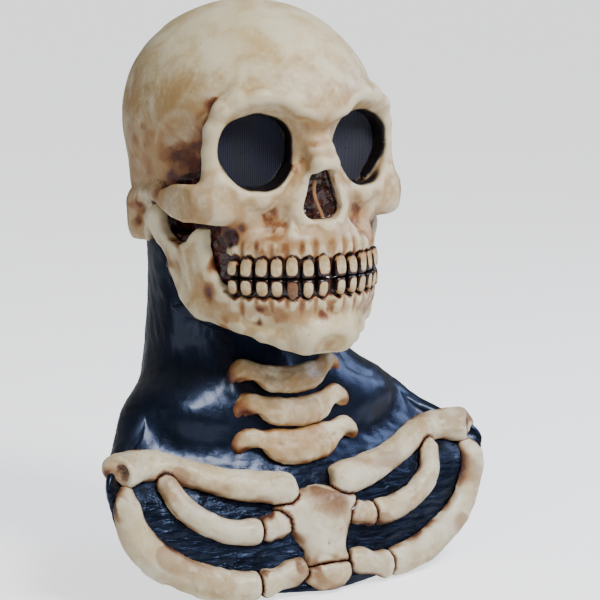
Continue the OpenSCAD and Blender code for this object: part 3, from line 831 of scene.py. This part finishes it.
septum_low, septum_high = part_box("nose_septum")
bpy.ops.object.select_all(action="DESELECT")
bpy.ops.mesh.primitive_grid_add(x_subdivisions=12, y_subdivisions=16, size=1)
nose_wall = bpy.context.object
nose_wall.name = "nose_wall"
middle, span = (septum_low + septum_high) / 2, septum_high - septum_low
for vert in nose_wall.data.vertices:
    u, v = vert.co.x, vert.co.y
    curl = -0.0042 * math.sin(3.4 * v + 0.7) + 0.0012 * math.sin(9 * u)
    waist = 1 - 0.28 * math.cos(math.pi * v)
    vert.co = (middle.x + curl - 0.002, middle.y + 0.002 + u * span.y * 0.12 * waist,
               middle.z + v * span.z * 1.2)
apply_modifier(nose_wall, "SOLIDIFY", thickness=0.0013, offset=0)
apply_modifier(nose_wall, "SUBSURF", levels=1, render_levels=1)
print("nose wall is", triangles(nose_wall), "triangles")

# %% [markdown]
# ## Cheeks and throat
# Behind the teeth the skin dives inwards and joins the jaw to the skull, and a loose web joins the
# jaw to the neck. Both stretch as the jaw drops, so they are thin curved sheets between the two
# bodies.
# %% Webs that bend
def web(node, name, levels, lump_mm, seed):
    """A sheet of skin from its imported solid, cut finer and creased."""
    piece = copy_of(node, name)
    edit_all(bpy.ops.mesh.tris_convert_to_quads)
    apply_modifier(piece, "SUBSURF", levels=levels, render_levels=levels)
    at = spots(piece)
    push_out(piece, lump_mm * (lumps(at, 9, seed) + 0.4 * lumps(at, 4, seed + 1)))
    smooth(piece)
    return piece


throat_web = web("throat_membrane", "throat_web", 2, 0.5, 41)


def cheek_wall(name, side, seed):
    """The dark lumpy wall between the last teeth and the branch of the jaw."""
    clay = Clay((40, -96, -146), (86, 2, -74), 1.2 * FINE)
    clay.rope([(57.5, -78, -88, 3), (62, -66, -90, 3.2), (69, -48, -92, 3.2), (73, -30, -92, 3)],
              4, both=False)
    for row in range(6):
        t = row / 5
        clay.rope([(56.5 - 2 * t, -80 + t, -88 - 42 * t, 3), (63 - 3 * t, -68 + 2 * t, -88 - 44 * t, 3.4),
                   (69 - 4 * t, -50, -90 - 42 * t, 3.2), (73 - 4 * t, -30, -90 - 40 * t, 3),
                   (76 - 5 * t, -4, -88 - 32 * t, 2.6)], 6, both=False)
    piece = clay.mesh(name)
    at = spots(piece)
    push_out(piece, 1.2 * lumps(at, 8, seed) + 0.5 * lumps(at, 4, seed + 1))
    if side < 0:
        at = spots(piece)
        place(piece, at * (-1, 1, 1))
        only(piece)
        edit_all(bpy.ops.mesh.flip_normals)
    smooth(piece)
    return piece


cheek_left, cheek_right = cheek_wall("cheek_left", 1, 43), cheek_wall("cheek_right", -1, 45)

# %% [markdown]
# ## The black neck and bib
# The neck is one loose tube of latex that flares into a bib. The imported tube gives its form; more
# faces are added by subdivision, and then soft creases: long upright folds where the neck hangs,
# and brush strokes in the black paint that run round the ribs.
# %% Neck and bib
neck = copy_of("neck_bib_skin", "neck_and_bib")
edit_all(bpy.ops.mesh.tris_convert_to_quads)
apply_modifier(neck, "SUBSURF", levels=3, render_levels=3)
at = spots(neck)
push_out(neck, 0.25)
turn = np.arctan2(at[:, 0], -(at[:, 1] + 5))
hang = fade(-at[:, 2], 110, 170) * (1 - fade(-at[:, 2], 215, 262))
folds = np.sin(turn * 9 + 0.02 * at[:, 2] + 1.5 * lumps(at, 60, 51)) * hang
bib = fade(-at[:, 2], 240, 290)
shoulder = np.exp(-((at[:, 2] + 224) / 28) ** 2 - ((np.degrees(np.abs(turn)) - 70) / 25) ** 2) \
    * (1 - 0.8 * fade(-at[:, 2], 232, 262))
stroke = np.sin(at[:, 2] * 0.9 + 2.5 * lumps(at, 22, 52)) * bib
push_out(neck, 20 * shoulder + 0.9 * folds + 0.22 * stroke + 0.5 * lumps(at, 18, 53) * (0.4 + 0.6 * bib)
         + 0.25 * lumps(at, 6, 54))
paint(neck, "bib", bib)
thin_out(neck)

# %% [markdown]
# ## The bones on the bib
# They are foam-filled latex castings glued on the black skin: chunky, worn round, thicker at the
# ends and darker where they meet the black and each other. The distance from each spot to the
# nearest neighbour is stored, so the wash can gather in the joints.
# %% Bones
BONES = {"vertebra_upper": 1.1, "vertebra_middle": 1.1, "vertebra_lower": 1.1,
         "collar_bone_left": 1.5, "collar_bone_right": 1.5, "breastbone": 1.3, "breastbone_tip": 1.1,
         "first_rib_left": 1.3, "first_rib_right": 1.3, "first_cartilage_left": 1.1,
         "first_cartilage_right": 1.1, "second_rib_left": 1.5, "second_rib_right": 1.5,
         "second_cartilage_left": 1.1, "second_cartilage_right": 1.1}
SEAT_FILL = 3.0          # mm that a collar bone is grown and shrunk by, to fill a dent in its end
bones = {}


def bump_at(value, middle, width):
    """A bell curve of height 1."""
    return np.exp(-((value - middle) / width) ** 2)


def shape_wings(bone):
    """Curls the ends of a vertebra down, notches it beneath, and dishes its front."""
    at = spots(bone)
    u = np.abs(at[:, 0]) / np.abs(at[:, 0]).max()
    top, foot = at[:, 2].max(), at[:, 2].min()
    v = (at[:, 2] * 2 - top - foot) / (top - foot)
    at[:, 2] += 6.0 * bump_at(u, 0.66, 0.13) * fade(-v, -0.2, 0.6) - 3.5 * fade(u, 0.76, 1.0)
    at[:, 2] += (2.4 * bump_at(u, 0.74, 0.16) * fade(v, -0.3, 0.3)
                 - 1.6 * bump_at(u, 0, 0.4) * fade(v, 0, 0.6))
    place(bone, at)
    v = (at[:, 2] * 2 - top - foot) / (top - foot)
    front = fade(-normals(bone)[:, 1], 0.25, 0.7)
    dish = (2.6 * bump_at(u, 0.84, 0.1) * bump_at(v, -0.1, 0.3)
            + 2.2 * bump_at(u, 0.42, 0.2) * bump_at(v, 0.25, 0.4))
    push_out(bone, front * (0.7 - dish - 0.8 * bump_at(u, 0, 0.3) * bump_at(v, 0.2, 0.5)))


for number, (node, voxel) in enumerate(BONES.items()):
    bone = reworked(node, node + "_cast", voxel * FINE, 5, 0.35)
    if node.startswith("vertebra"):
        shape_wings(bone)
    if node.startswith("collar"):                     # fill the seat that the rib's end is cut from
        push_out(bone, SEAT_FILL)
        apply_modifier(bone, "REMESH", mode="VOXEL", voxel_size=voxel * FINE / 1000, adaptivity=0.0)
        push_out(bone, -SEAT_FILL)
        apply_modifier(bone, "SMOOTH", factor=0.5, iterations=6)
    at = spots(bone)
    push_out(bone, 0.75 * lumps(at, 22, 60 + number) + 0.4 * lumps(at, 9, 80 + number)
             + 0.15 * lumps(at, 4, 100 + number))
    bones[node] = bone


def tree_of(pieces):
    """A search tree over the faces of some pieces."""
    points, faces, start = [], [], 0
    for piece in pieces:
        points += [v.co.copy() for v in piece.data.vertices]
        faces += [[start + i for i in p.vertices] for p in piece.data.polygons]
        start = len(points)
    return BVHTree.FromPolygons(points, faces)


def gap_to(tree, piece, most_mm=12.0):
    """Distance in mm from each spot of a piece to the nearest face of a tree."""
    gaps = np.full(len(piece.data.vertices), most_mm)
    for index, vert in enumerate(piece.data.vertices):
        hit = tree.find_nearest(vert.co, most_mm / 1000)
        if hit[0] is not None:
            gaps[index] = hit[3] * 1000
    return gaps


skin_tree = tree_of([neck])
trees = {node: tree_of([bone]) for node, bone in bones.items()}
NEIGHBOURS = [("breastbone", "breastbone_tip")] + [
    pair for side in ("left", "right") for pair in (
        (f"collar_bone_{side}", "breastbone"),
        (f"first_cartilage_{side}", "breastbone"), (f"first_cartilage_{side}", f"first_rib_{side}"),
        (f"first_rib_{side}", f"collar_bone_{side}"), (f"second_cartilage_{side}", "breastbone"),
        (f"second_cartilage_{side}", "breastbone_tip"),
        (f"second_cartilage_{side}", f"second_rib_{side}"))]
for node, bone in bones.items():
    foot = 1 - fade(gap_to(skin_tree, bone), 0.5, 9.5)
    near_by = [other for pair in NEIGHBOURS if node in pair for other in pair if other != node]
    joint = np.zeros(len(foot))
    for other in near_by:
        joint = np.maximum(joint, 1 - fade(gap_to(trees[other], bone, 8), 0.2, 4.0))
    hollow = hollows_of_mesh(bone)
    at = spots(bone)
    vertebra = node.startswith("vertebra")
    paint(bone, "groove", 0.56 + hollow / 2.4)
    paint(bone, "socket", 0.53 + hollow / 4 + (0.03 if vertebra else 0))
    blotch = fade(lumps(at, 20, 124), -0.2, 1.0) * (0.75 if "cart" in node or "breast" in node else 0.5)
    patches = 0.1 + 0.22 * lumps(at, 12, 122) if vertebra else blotch
    paint(bone, "wash", np.maximum(joint * 0.95, foot * (0.6 + 0.4 * lumps(at, 10, 121)) + patches))
    paint(bone, "deep", fade(joint, 0.8, 1.0) * 0.7)
    paint(bone, "pit", 0.0)
    paint(bone, "wear_and_top_light", (0.2 if vertebra else 0.55) + 0.2 * lumps(at, 30, 123))
print("bones:", sum(triangles(b) for b in bones.values()), "triangles in all")
paint(jaw_latex, "pit", 0.0)

# %% [markdown]
# ## Eye screens
# Behind each eye hole a piece of stiff black knit is stretched and stuck down, so that the wearer
# sees out. It is cut to the hole's outline with a margin for the cement, and bows back slightly.
# %% Eye screens and their rings of cement
def outline_points(corners, radius, count=72):
    """Points round the shape that the corners make when they are rounded by a radius."""
    middle = np.mean(corners, 0)
    points = []
    for turn in np.linspace(0, 2 * math.pi, count, endpoint=False):
        way = np.array((math.cos(turn), math.sin(turn)))
        reach = np.linspace(0, 60, 601)
        u, v = middle[0] + way[0] * reach, middle[1] + way[1] * reach
        inside = outline_distance(u, v, corners) < radius
        points.append(middle + way * reach[inside].max())
    return np.array(points)


def screen(name, node, side, margin=1.8, rings=9):
    """A stretched sheet in the outline of an eye hole."""
    low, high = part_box(node)
    edge = outline_points(EYE_CORNERS, EYE_ROUND + margin)
    middle = edge.mean(0)
    c, s = math.cos(math.radians(EYE_TURN)), math.sin(math.radians(EYE_TURN))
    bm = bmesh.new()
    loops = []
    back = (low.y + high.y) / 2 * 1000
    for ring in range(1, rings + 1):
        t = ring / rings
        loop = []
        for u, v in middle + (edge - middle) * t:
            bow = 1.4 * (1 - t * t)
            x = EYE[0] + c * u - s * bow
            y = back + s * u + c * bow
            loop.append(bm.verts.new(((side * x) / 1000, y / 1000, (EYE[2] + v + CASE_Z) / 1000)))
        loops.append(loop)
    for inner, outer in zip(loops[:-1], loops[1:]):
        for i in range(len(outer)):
            j = (i + 1) % len(outer)
            bm.faces.new((inner[i], inner[j], outer[j], outer[i]))
    bm.faces.new(loops[0])
    bmesh.ops.triangulate(bm, faces=[f for f in bm.faces if len(f.verts) > 4])
    bmesh.ops.recalc_face_normals(bm, faces=bm.faces)
    data = bpy.data.meshes.new(name)
    bm.to_mesh(data)
    bm.free()
    piece = bpy.data.objects.new(name, data)
    bpy.context.scene.collection.objects.link(piece)
    apply_modifier(piece, "SOLIDIFY", thickness=0.0006, offset=0)
    smooth(piece)
    return piece


screens = {side: screen(f"eye_knit_{side}", f"eye_screen_{side}", way)
           for side, way in (("left", 1), ("right", -1))}
cements = {}
for side in ("left", "right"):
    ring = reworked(f"eye_bond_{side}", f"eye_cement_{side}", 0.8, 3)
    push_out(ring, 0.4 * lumps(spots(ring), 5, 131))
    cements[side] = ring

# %% [markdown]
# ## Foam pads
# Charcoal foam pads keep the skull off the wearer's head, and a cup carries the chin. Each is a
# block of soft foam under stretch cloth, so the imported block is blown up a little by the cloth
# solver until its faces crown and its corners pull in.
# %% Foam pads
PAD_SMALLER = 0.8        # mm that a pad starts inside its packed block


def foam_pad(node, name, swell_mm=1.2):
    """A pad that starts a little small and is inflated until its faces crown."""
    piece = copy_of(node, name)
    apply_modifier(piece, "REMESH", mode="VOXEL", voxel_size=0.004, adaptivity=0.0)
    apply_modifier(piece, "SMOOTH", factor=0.5, iterations=3)
    push_out(piece, -PAD_SMALLER)
    start = spots(piece)
    only(piece)
    cloth = piece.modifiers.new("Cloth", "CLOTH")
    cloth.settings.quality = 5
    cloth.settings.use_pressure = True
    cloth.settings.uniform_pressure_force = 4
    cloth.settings.effector_weights.gravity = 0
    for number in range(1, 16):
        bpy.context.scene.frame_set(number)
    bpy.ops.object.modifier_apply(modifier="Cloth")
    bpy.context.scene.frame_set(1)
    move = spots(piece) - start
    far = np.maximum(np.linalg.norm(move, axis=1), 1e-6)
    place(piece, start + move * (np.minimum(far, swell_mm) / far)[:, None])
    apply_modifier(piece, "SUBSURF", levels=1, render_levels=1)
    smooth(piece)
    return piece


pads = {node: foam_pad(node, node + "_foam")
        for node in ("crown_pad", "brow_pad", "nape_pad", "chin_cup")}
print("pads:", {name: triangles(p) for name, p in pads.items()})

# %% [markdown]
# # Paints and materials
# The ivory latex is painted, flooded with brown and rubbed back, the recesses are left wet and
# nearly black, partly as painted shade, and the crown is paler, partly from wear and partly as
# painted light from above. The neck is black latex under a satin sealer. Image textures could
# show this, but noise with sizes in millimetres, led by the numbers stored on each mesh, stays sharp
# from any distance and puts every stain where the shape asks for it. Each paint is mixed from the ground
# up.
# %% Colours and nodes
def paint_hex(code):
    """An sRGB hex colour as linear RGBA."""
    parts = [int(code[i:i + 2], 16) / 255 for i in (1, 3, 5)]
    return tuple(c / 12.92 if c <= 0.04045 else ((c + 0.055) / 1.055) ** 2.4 for c in parts) + (1.0,)


NODES = {    # each kind's type, the inputs filled in order, the output used, and fixed settings
    "places": ("ShaderNodeTexCoord", (), "Object", {}),
    "seen": ("ShaderNodeLightPath", (), "Is Camera Ray", {}),
    "stored": ("ShaderNodeAttribute", (), "Fac", {"attribute_type": "GEOMETRY"}),
    "noise": ("ShaderNodeTexNoise", ("Vector", "Scale", "Detail", "Roughness", "Distortion"), "Fac", {}),
    "specks": ("ShaderNodeTexVoronoi", ("Vector", "Scale", "Randomness"), "Distance", {}),
    "stripes": ("ShaderNodeTexWave", ("Vector", "Scale", "Distortion", "Detail"), "Fac", {}),
    "mapping": ("ShaderNodeMapping", ("Vector", "Scale"), "Vector", {}),
    "span": ("ShaderNodeMapRange", (0, 1, 2, 3, 4), 0, {"interpolation_type": "SMOOTHSTEP"}),
    "mix": ("ShaderNodeMix", (0, 6, 7), 2, {"data_type": "RGBA"}),
    "maths": ("ShaderNodeMath", (0, 1), 0, {"use_clamp": True}),
    "bump": ("ShaderNodeBump", ("Height", "Strength", "Distance"), "Normal", {})}


def add(tree, kind, *values, **settings):
    """Adds a node, fills its inputs with values or links, and gives back its output."""
    name, inputs, output, fixed = NODES[kind]
    new = tree.nodes.new(name)
    for key, value in {**fixed, **settings}.items():
        setattr(new, key, value)
    for key, value in zip(inputs, values):
        if isinstance(value, bpy.types.NodeSocket):
            tree.links.new(value, new.inputs[key])
        else:
            new.inputs[key].default_value = value
    return new.outputs[output]


def start_material(name, **surface):
    """A material with a Principled shader, its constant values, and its texture coordinates."""
    material = bpy.data.materials.new(name)
    material.use_nodes = True
    tree = material.node_tree
    shader = tree.nodes["Principled BSDF"]
    for key, value in surface.items():
        shader.inputs[key.replace("_", " ")].default_value = value
    return material, tree, shader, add(tree, "places")


def per_metre(size_mm):
    """The scale of a noise whose humps are about this far apart on Object coordinates."""
    return 1000.0 / size_mm


def finish_surface(tree, shader, colour, rough, height, strength, depth_mm):
    """Links a material's colour, its roughness if it varies, and its relief."""
    tree.links.new(colour, shader.inputs["Base Color"])
    if rough is not None:
        tree.links.new(rough, shader.inputs["Roughness"])
    tree.links.new(add(tree, "bump", height, strength, depth_mm / 1000), shader.inputs["Normal"])


# %% Antiqued cast latex: ivory paint rubbed with brown wash
def antiqued_latex(name, ivory, cream, tan, brown, dark, gloss=0.42):
    """Ivory latex with the wash in its grooves. Its low sheen comes from a thin sealer."""
    material, tree, shader, where = start_material(name, IOR=1.5)
    patchy = add(tree, "noise", where, per_metre(34), 4, 0.6, 0.6)
    mottled = add(tree, "noise", where, per_metre(9), 5, 0.62, 0.8)
    grain = add(tree, "noise", where, per_metre(1.6), 3, 0.6, 0.0)
    wear_and_top_light = add(tree, "stored", attribute_name="wear_and_top_light")
    groove = add(tree, "stored", attribute_name="groove")
    socket = add(tree, "stored", attribute_name="socket")
    wash = add(tree, "stored", attribute_name="wash")
    deep = add(tree, "stored", attribute_name="deep")
    colour = add(tree, "mix", add(tree, "span", patchy, 0.32, 0.68), ivory, cream)
    # Less tan where worn, and on the skull's crown, where this is painted light falling from above
    unworn_or_unlit = add(tree, "maths", patchy, wear_and_top_light, operation="SUBTRACT", use_clamp=False)
    aged_or_unlit = add(tree, "maths", mottled, unworn_or_unlit, use_clamp=False)
    colour = add(tree, "mix", add(tree, "span", aged_or_unlit, 0.35, 1.05, 0, 0.62), colour, tan)
    # Thin wash gathers where the surface is hollow, and fades by patches
    in_sockets = add(tree, "span", socket, 0.54, 1.05, 0, 0.9)
    thin = add(tree, "maths", in_sockets, add(tree, "span", groove, 0.52, 0.92))
    thin = add(tree, "maths", thin, add(tree, "span", mottled, 0.3, 0.7, 0.45, 1.0), operation="MULTIPLY")
    thin = add(tree, "maths", thin, wash, operation="MAXIMUM")
    colour = add(tree, "mix", add(tree, "span", thin, 0.03, 0.75, 0, 0.92), colour, tan)
    smoky = add(tree, "mix", add(tree, "span", patchy, 0.5, 0.66, 0, 0.3), brown, VIOLET_TINT_AND_GLINT)
    rubbed = add(tree, "maths", thin, add(tree, "span", grain, 0.3, 0.7, 0.88, 1.1),
                 operation="MULTIPLY", use_clamp=False)
    colour = add(tree, "mix", add(tree, "span", rubbed, 0.34, 1.1, 0, 0.9), colour, smoky)
    thick = add(tree, "maths", add(tree, "span", groove, 0.66, 1.0),
                add(tree, "span", wash, 0.7, 1.0, 0, 0.6))
    thick = add(tree, "maths", thick, add(tree, "span", mottled, 0.35, 0.7, 0.3, 1.0),
                operation="MULTIPLY")
    colour = add(tree, "mix", thick, colour, dark)
    # Worn bright where the surface stands proud
    proud = add(tree, "maths", add(tree, "span", groove, 0.42, 0.2, 0, 0.65),
                 add(tree, "span", thin, 0.1, 0.5, 1.0, 0.0), operation="MULTIPLY")
    colour = add(tree, "mix", proud, colour, ivory)
    # Glossier maroon-black in the deepest hollows, partly recess paint and partly painted shade, with
    # painted grey-violet glints on its lumps
    lumpy = add(tree, "noise", where, per_metre(6), 3, 0.55, 0.4)
    maroon = add(tree, "mix", add(tree, "span", lumpy, 0.35, 0.62), MAROON_BLACK, MAROON)
    maroon = add(tree, "mix", add(tree, "span", lumpy, 0.6, 0.78, 0, 0.7), maroon, VIOLET_TINT_AND_GLINT)
    patchy_wet = add(tree, "maths", mottled, 0.35, operation="MULTIPLY")
    wet = add(tree, "maths", deep, patchy_wet, operation="SUBTRACT", use_clamp=False)
    colour = add(tree, "mix", add(tree, "span", wet, 0.1, 0.45), colour, maroon)
    # Near-black on the eye pockets' walls: partly black paint, partly painted shade
    colour = add(tree, "mix", add(tree, "stored", attribute_name="pit"), colour, MAROON_BLACK)
    # Specks of spattered wash
    specks = add(tree, "specks", where, per_metre(7.5), 1.0)
    sparse = add(tree, "span", add(tree, "noise", where, per_metre(22), 1, 0.55, 0.0), 0.5, 0.62)
    specks = add(tree, "maths", add(tree, "span", specks, 0.09, 0.05), sparse, operation="MULTIPLY")
    colour = add(tree, "mix", specks, colour, tan)
    rough = add(tree, "maths", add(tree, "span", mottled, 0.3, 0.75, gloss + 0.08, gloss - 0.06),
                 add(tree, "span", deep, 0.1, 0.6, 0, 0.2), operation="SUBTRACT")
    height = add(tree, "maths", add(tree, "maths", mottled, 0.6, operation="MULTIPLY"),
                 add(tree, "maths", grain, 0.18, operation="MULTIPLY"))
    finish_surface(tree, shader, colour, rough, height, 0.35, 1.2)
    return material


# The grey-violet tints the smoky wash and also paints glints on wet lumps
MAROON_BLACK, MAROON, VIOLET_TINT_AND_GLINT = (paint_hex(c) for c in ("#0E0304", "#4A1A14", "#6A5A72"))
bone_paint = antiqued_latex("antiqued_cast_latex", paint_hex("#F1E4BF"), paint_hex("#D9BF88"),
                            paint_hex("#A57038"), paint_hex("#6A2612"), paint_hex("#240A08"))


def dress(piece, material, slot, body, *nodes):
    """Gives a finished piece its paint, the body it rides on and the nodes it stands for; the slot is not
    used.
    """
    piece.data.materials.clear()
    piece.data.materials.append(material)
    if body:
        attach(piece, body)
    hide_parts(*nodes)
    print(piece.name, "dressed,", triangles(piece), "triangles")


dress(skull_latex, bone_paint, "bone_latex", "mask", "skull_skin")
dress(jaw_latex, bone_paint, "bone_latex", "jaw", "jaw_skin")

# %% Tooth latex: aged ivory under a glossier sealer, with brown stains round each tooth
tooth_paint, tree, shader, where = start_material("stained_tooth_latex", IOR=1.5)
stain, tall, tint = (add(tree, "stored", attribute_name=name) for name in ("stain", "tall", "tint"))
cloud = add(tree, "noise", where, per_metre(5), 4, 0.6, 0.5)
colour = add(tree, "mix", add(tree, "span", cloud, 0.3, 0.7), paint_hex("#E9D8B0"), paint_hex("#CFB17C"))
rootward = add(tree, "span", tall, 0.35, 1.0, 0, 0.7)
colour = add(tree, "mix", rootward, colour, paint_hex("#AD8048"))
colour = add(tree, "mix", add(tree, "span", tint, 0.1, 1.0, 0, 0.85), colour, paint_hex("#6E3E27"))
dirty = add(tree, "maths", stain, add(tree, "maths", cloud, 0.3, operation="MULTIPLY"), use_clamp=False)
colour = add(tree, "mix", add(tree, "span", dirty, 0.22, 0.62), colour, paint_hex("#84502A"))
colour = add(tree, "mix", add(tree, "span", dirty, 0.55, 0.95), colour, paint_hex("#1D0D09"))
finish_surface(tree, shader, colour, add(tree, "span", cloud, 0.3, 0.7, 0.34, 0.22), cloud, 0.4, 0.8)


# %% Glossed recess latex: wet-looking maroon that is nearly black
def glossed_latex(name, seed_size, gloss):
    """Maroon-black latex under a thick gloss, with painted grey-violet glints on its lumps."""
    material, tree, shader, where = start_material(name, IOR=1.5, Coat_Weight=0.6, Coat_Roughness=0.12)
    lumpy = add(tree, "noise", where, per_metre(seed_size), 4, 0.6, 0.5)
    fine = add(tree, "noise", where, per_metre(seed_size / 3), 3, 0.6, 0.3)
    colour = add(tree, "mix", add(tree, "span", lumpy, 0.35, 0.62), MAROON_BLACK, MAROON)
    colour = add(tree, "mix", add(tree, "span", fine, 0.66, 0.85, 0, 0.25), colour, VIOLET_TINT_AND_GLINT)
    rough = add(tree, "span", fine, 0.3, 0.7, gloss, gloss + 0.2)
    finish_surface(tree, shader, colour, rough, lumpy, 0.6, 1.5)
    return material


wet_paint = glossed_latex("glossed_recess_latex", 6, 0.2)

# %% Black latex: satin and pitted on the neck, brushed with gloss on the bib
BLUE_SHEEN = paint_hex("#9DBCFF")
black_paint, tree, shader, where = start_material("brushed_black_latex", IOR=1.5, Coat_Weight=0.25,
                                                 Coat_Roughness=0.2, Specular_Tint=BLUE_SHEEN)
bib_part = add(tree, "stored", attribute_name="bib")
pits = add(tree, "noise", where, per_metre(2.6), 4, 0.6, 0.3)
broad_patch = add(tree, "noise", where, per_metre(30), 3, 0.5, 0.4)
strokes = add(tree, "noise", add(tree, "mapping", where, (0.35, 0.35, 1.6)), per_metre(5), 4, 0.55, 1.2)
colour = add(tree, "mix", add(tree, "span", broad_patch, 0.35, 0.7),
             paint_hex("#020306"), paint_hex("#070C18"))
colour = add(tree, "mix", add(tree, "span", pits, 0.62, 0.8, 0, 0.5), colour, paint_hex("#1A2130"))
rough = add(tree, "maths", add(tree, "span", broad_patch, 0.3, 0.7, 0.28, 0.42),
             add(tree, "maths", bib_part, 0.14, operation="MULTIPLY"), operation="SUBTRACT")
on_bib = add(tree, "maths", strokes, bib_part, operation="MULTIPLY")
on_bib = add(tree, "maths", on_bib, 1.2, operation="MULTIPLY", use_clamp=False)
height = add(tree, "maths", add(tree, "maths", pits, 0.35, operation="MULTIPLY"), on_bib, use_clamp=False)
finish_surface(tree, shader, colour, rough, height, 0.5, 1.5)

# %% Rib latex: the same antiqued casting, paler and with less wash
rib_paint = antiqued_latex("antiqued_rib_latex", paint_hex("#F0E6CA"), paint_hex("#DAC598"),
                           paint_hex("#A98055"), paint_hex("#66392B"), paint_hex("#261110"), 0.36)

# %% Knitted screen: polyester yarn in fine upright ribs, matt, with a faint sheen at its edges
knit_paint, tree, shader, where = start_material("ribbed_navy_knit", Roughness=0.85, IOR=1.5,
                                                Sheen_Weight=0.3, Sheen_Roughness=0.5)
# The stripes repeat about 3.14 times per unit of scale: ribs 1.5 mm and courses 1.1 mm apart
ribs = add(tree, "stripes", where, per_metre(1.5) / (2 * math.pi) * 2, 0.4, 1.0, bands_direction="X")
courses = add(tree, "stripes", where, per_metre(1.1) / (2 * math.pi) * 2, 0.6, 1.0, bands_direction="Z")
loops = add(tree, "maths", add(tree, "maths", ribs, 0.7, operation="MULTIPLY"),
            add(tree, "maths", courses, 0.3, operation="MULTIPLY"))
colour = add(tree, "mix", add(tree, "span", loops, 0.25, 0.85),
             paint_hex("#05060C"), paint_hex("#1F2340"))
finish_surface(tree, shader, colour, None, loops, 0.6, 0.4)

# %% Rubber cement, brushed on in streaks, and polyurethane foam under matt cloth
cement_paint, tree, shader, where = start_material("brushed_rubber_cement", Roughness=0.4, IOR=1.5)
streak = add(tree, "noise", where, per_metre(4), 3, 0.55, 0.0)
colour = add(tree, "mix", streak, paint_hex("#3B3128"), paint_hex("#6B5B46"))
tree.links.new(colour, shader.inputs["Base Color"])
foam_paint, tree, shader, where = start_material("cloth_faced_foam", Roughness=0.95, Sheen_Weight=0.25)
cells = add(tree, "noise", where, per_metre(1.4), 3, 0.6, 0.0)
colour = add(tree, "mix", add(tree, "span", cells, 0.3, 0.7), paint_hex("#222327"), paint_hex("#3A3B40"))
finish_surface(tree, shader, colour, None, cells, 0.5, 0.6)

# %% Dress and seat every piece
dress(upper_row, tooth_paint, "tooth_latex", "mask", "upper_teeth")
dress(lower_row, tooth_paint, "tooth_latex", "jaw", "lower_teeth")
dress(upper_gums, wet_paint, "recess_latex", "mask", "upper_gum")
dress(lower_gums, wet_paint, "recess_latex", "jaw", "lower_gum")
dress(nose_hollow, wet_paint, "recess_latex", "mask", "nose_lining")
for name, value in (("pit", 0.0), ("groove", 0.55), ("socket", 0.55), ("wash", 0.62), ("deep", 0.0),
                    ("wear_and_top_light", 0.3)):
    paint(nose_wall, name, value)
dress(nose_wall, bone_paint, "bone_latex", "mask", "nose_septum")
dress(neck, black_paint, "black_latex", "mask", "neck_bib_skin")
for node, bone in bones.items():
    vertebra = node.startswith("vertebra")
    dress(bone, bone_paint if vertebra else rib_paint, "bone_latex" if vertebra else "rib_latex",
          "mask", node)
for side in ("left", "right"):
    dress(screens[side], knit_paint, "eye_mesh", "mask", f"eye_screen_{side}")
    dress(cements[side], cement_paint, "cement", "mask", f"eye_bond_{side}")
for node, pad in pads.items():
    dress(pad, foam_paint, "foam", "jaw" if node == "chin_cup" else "mask", node)

# %% Sheets of skin between the jaw and the rest, on no body
dress(throat_web, black_paint, "black_latex", None, "throat_membrane")
paint(throat_web, "bib", 0.0)
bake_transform(throat_web)
for side, wall in (("left", cheek_left), ("right", cheek_right)):
    node = f"cheek_membrane_{side}"
    dress(wall, wet_paint, "recess_latex", None, node)
    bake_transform(wall)

# %% [markdown]
# ## Camera, floor and light
# The mask stands on a plain pale floor and is seen from its own right, a little above. The floor
# and the sky look bright to the camera alone, so they don't wash out the shadows in the sockets.
# %% Camera
TARGET_Z = -154.0
AZIMUTH, ELEVATION, DISTANCE = -32.0, 9.0, 1.8
a, e = math.radians(AZIMUTH), math.radians(ELEVATION)
right = Vector((math.cos(a), math.sin(a), 0))
back = Vector((math.sin(a) * math.cos(e), -math.cos(a) * math.cos(e), math.sin(e)))
up = back.cross(right)
aim = Vector((0, 0, (TARGET_Z + CASE_Z) / 1000)) + right * 0.0416 + up * 0.0064
bpy.ops.object.camera_add(location=aim + back * DISTANCE)
camera = bpy.context.object
camera.rotation_euler = (-back).to_track_quat("-Z", "Y").to_euler()
camera.data.lens = 135
camera.data.sensor_width = 36
bpy.context.scene.camera = camera

# %% Floor and backdrop
low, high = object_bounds()
bpy.ops.mesh.primitive_plane_add(size=60, location=(0, 0, low[2] - 0.001))
floor = bpy.context.object
floor.name = "floor"
floor_paint, tree, shader, where = start_material("matt_white_board", Roughness=0.9)
shader.inputs["Base Color"].default_value = paint_hex("#F4F4F4")
shader.inputs["Emission Color"].default_value = paint_hex("#F6F7F9")
seen = add(tree, "seen")
glow = add(tree, "maths", seen, 1.5, operation="MULTIPLY", use_clamp=False)
tree.links.new(glow, shader.inputs["Emission Strength"])
floor.data.materials.append(floor_paint)


# %% Soft lights
def softbox(name, place, size, watts, tint="#FFFFFF"):
    """A square light that looks at the middle of the mask."""
    bpy.ops.object.light_add(type="AREA", location=place)
    light = bpy.context.object
    light.name = name
    light.data.size = size
    light.data.energy = watts
    light.data.color = paint_hex(tint)[:3]
    light.rotation_euler = (Vector(place) - Vector((0, 0, -0.2))).to_track_quat("Z", "Y").to_euler()
    return light


softbox("key_softbox", (0.35, -1.5, 1.5), 0.7, 56)
softbox("left_softbox", (-1.9, -0.4, 0.5), 1.0, 5)
softbox("right_softbox", (1.6, -0.3, 0.6), 0.8, 15, "#BCD2FF")
world = bpy.context.scene.world or bpy.data.worlds.new("studio")
bpy.context.scene.world = world
world.use_nodes = True
world.node_tree.nodes["Background"].inputs["Color"].default_value = paint_hex("#F2F4F7")
seen = add(world.node_tree, "seen")
strength = add(world.node_tree, "span", seen, 0.0, 1.0, 0.2, 2.4)
world.node_tree.links.new(strength, world.node_tree.nodes["Background"].inputs["Strength"])
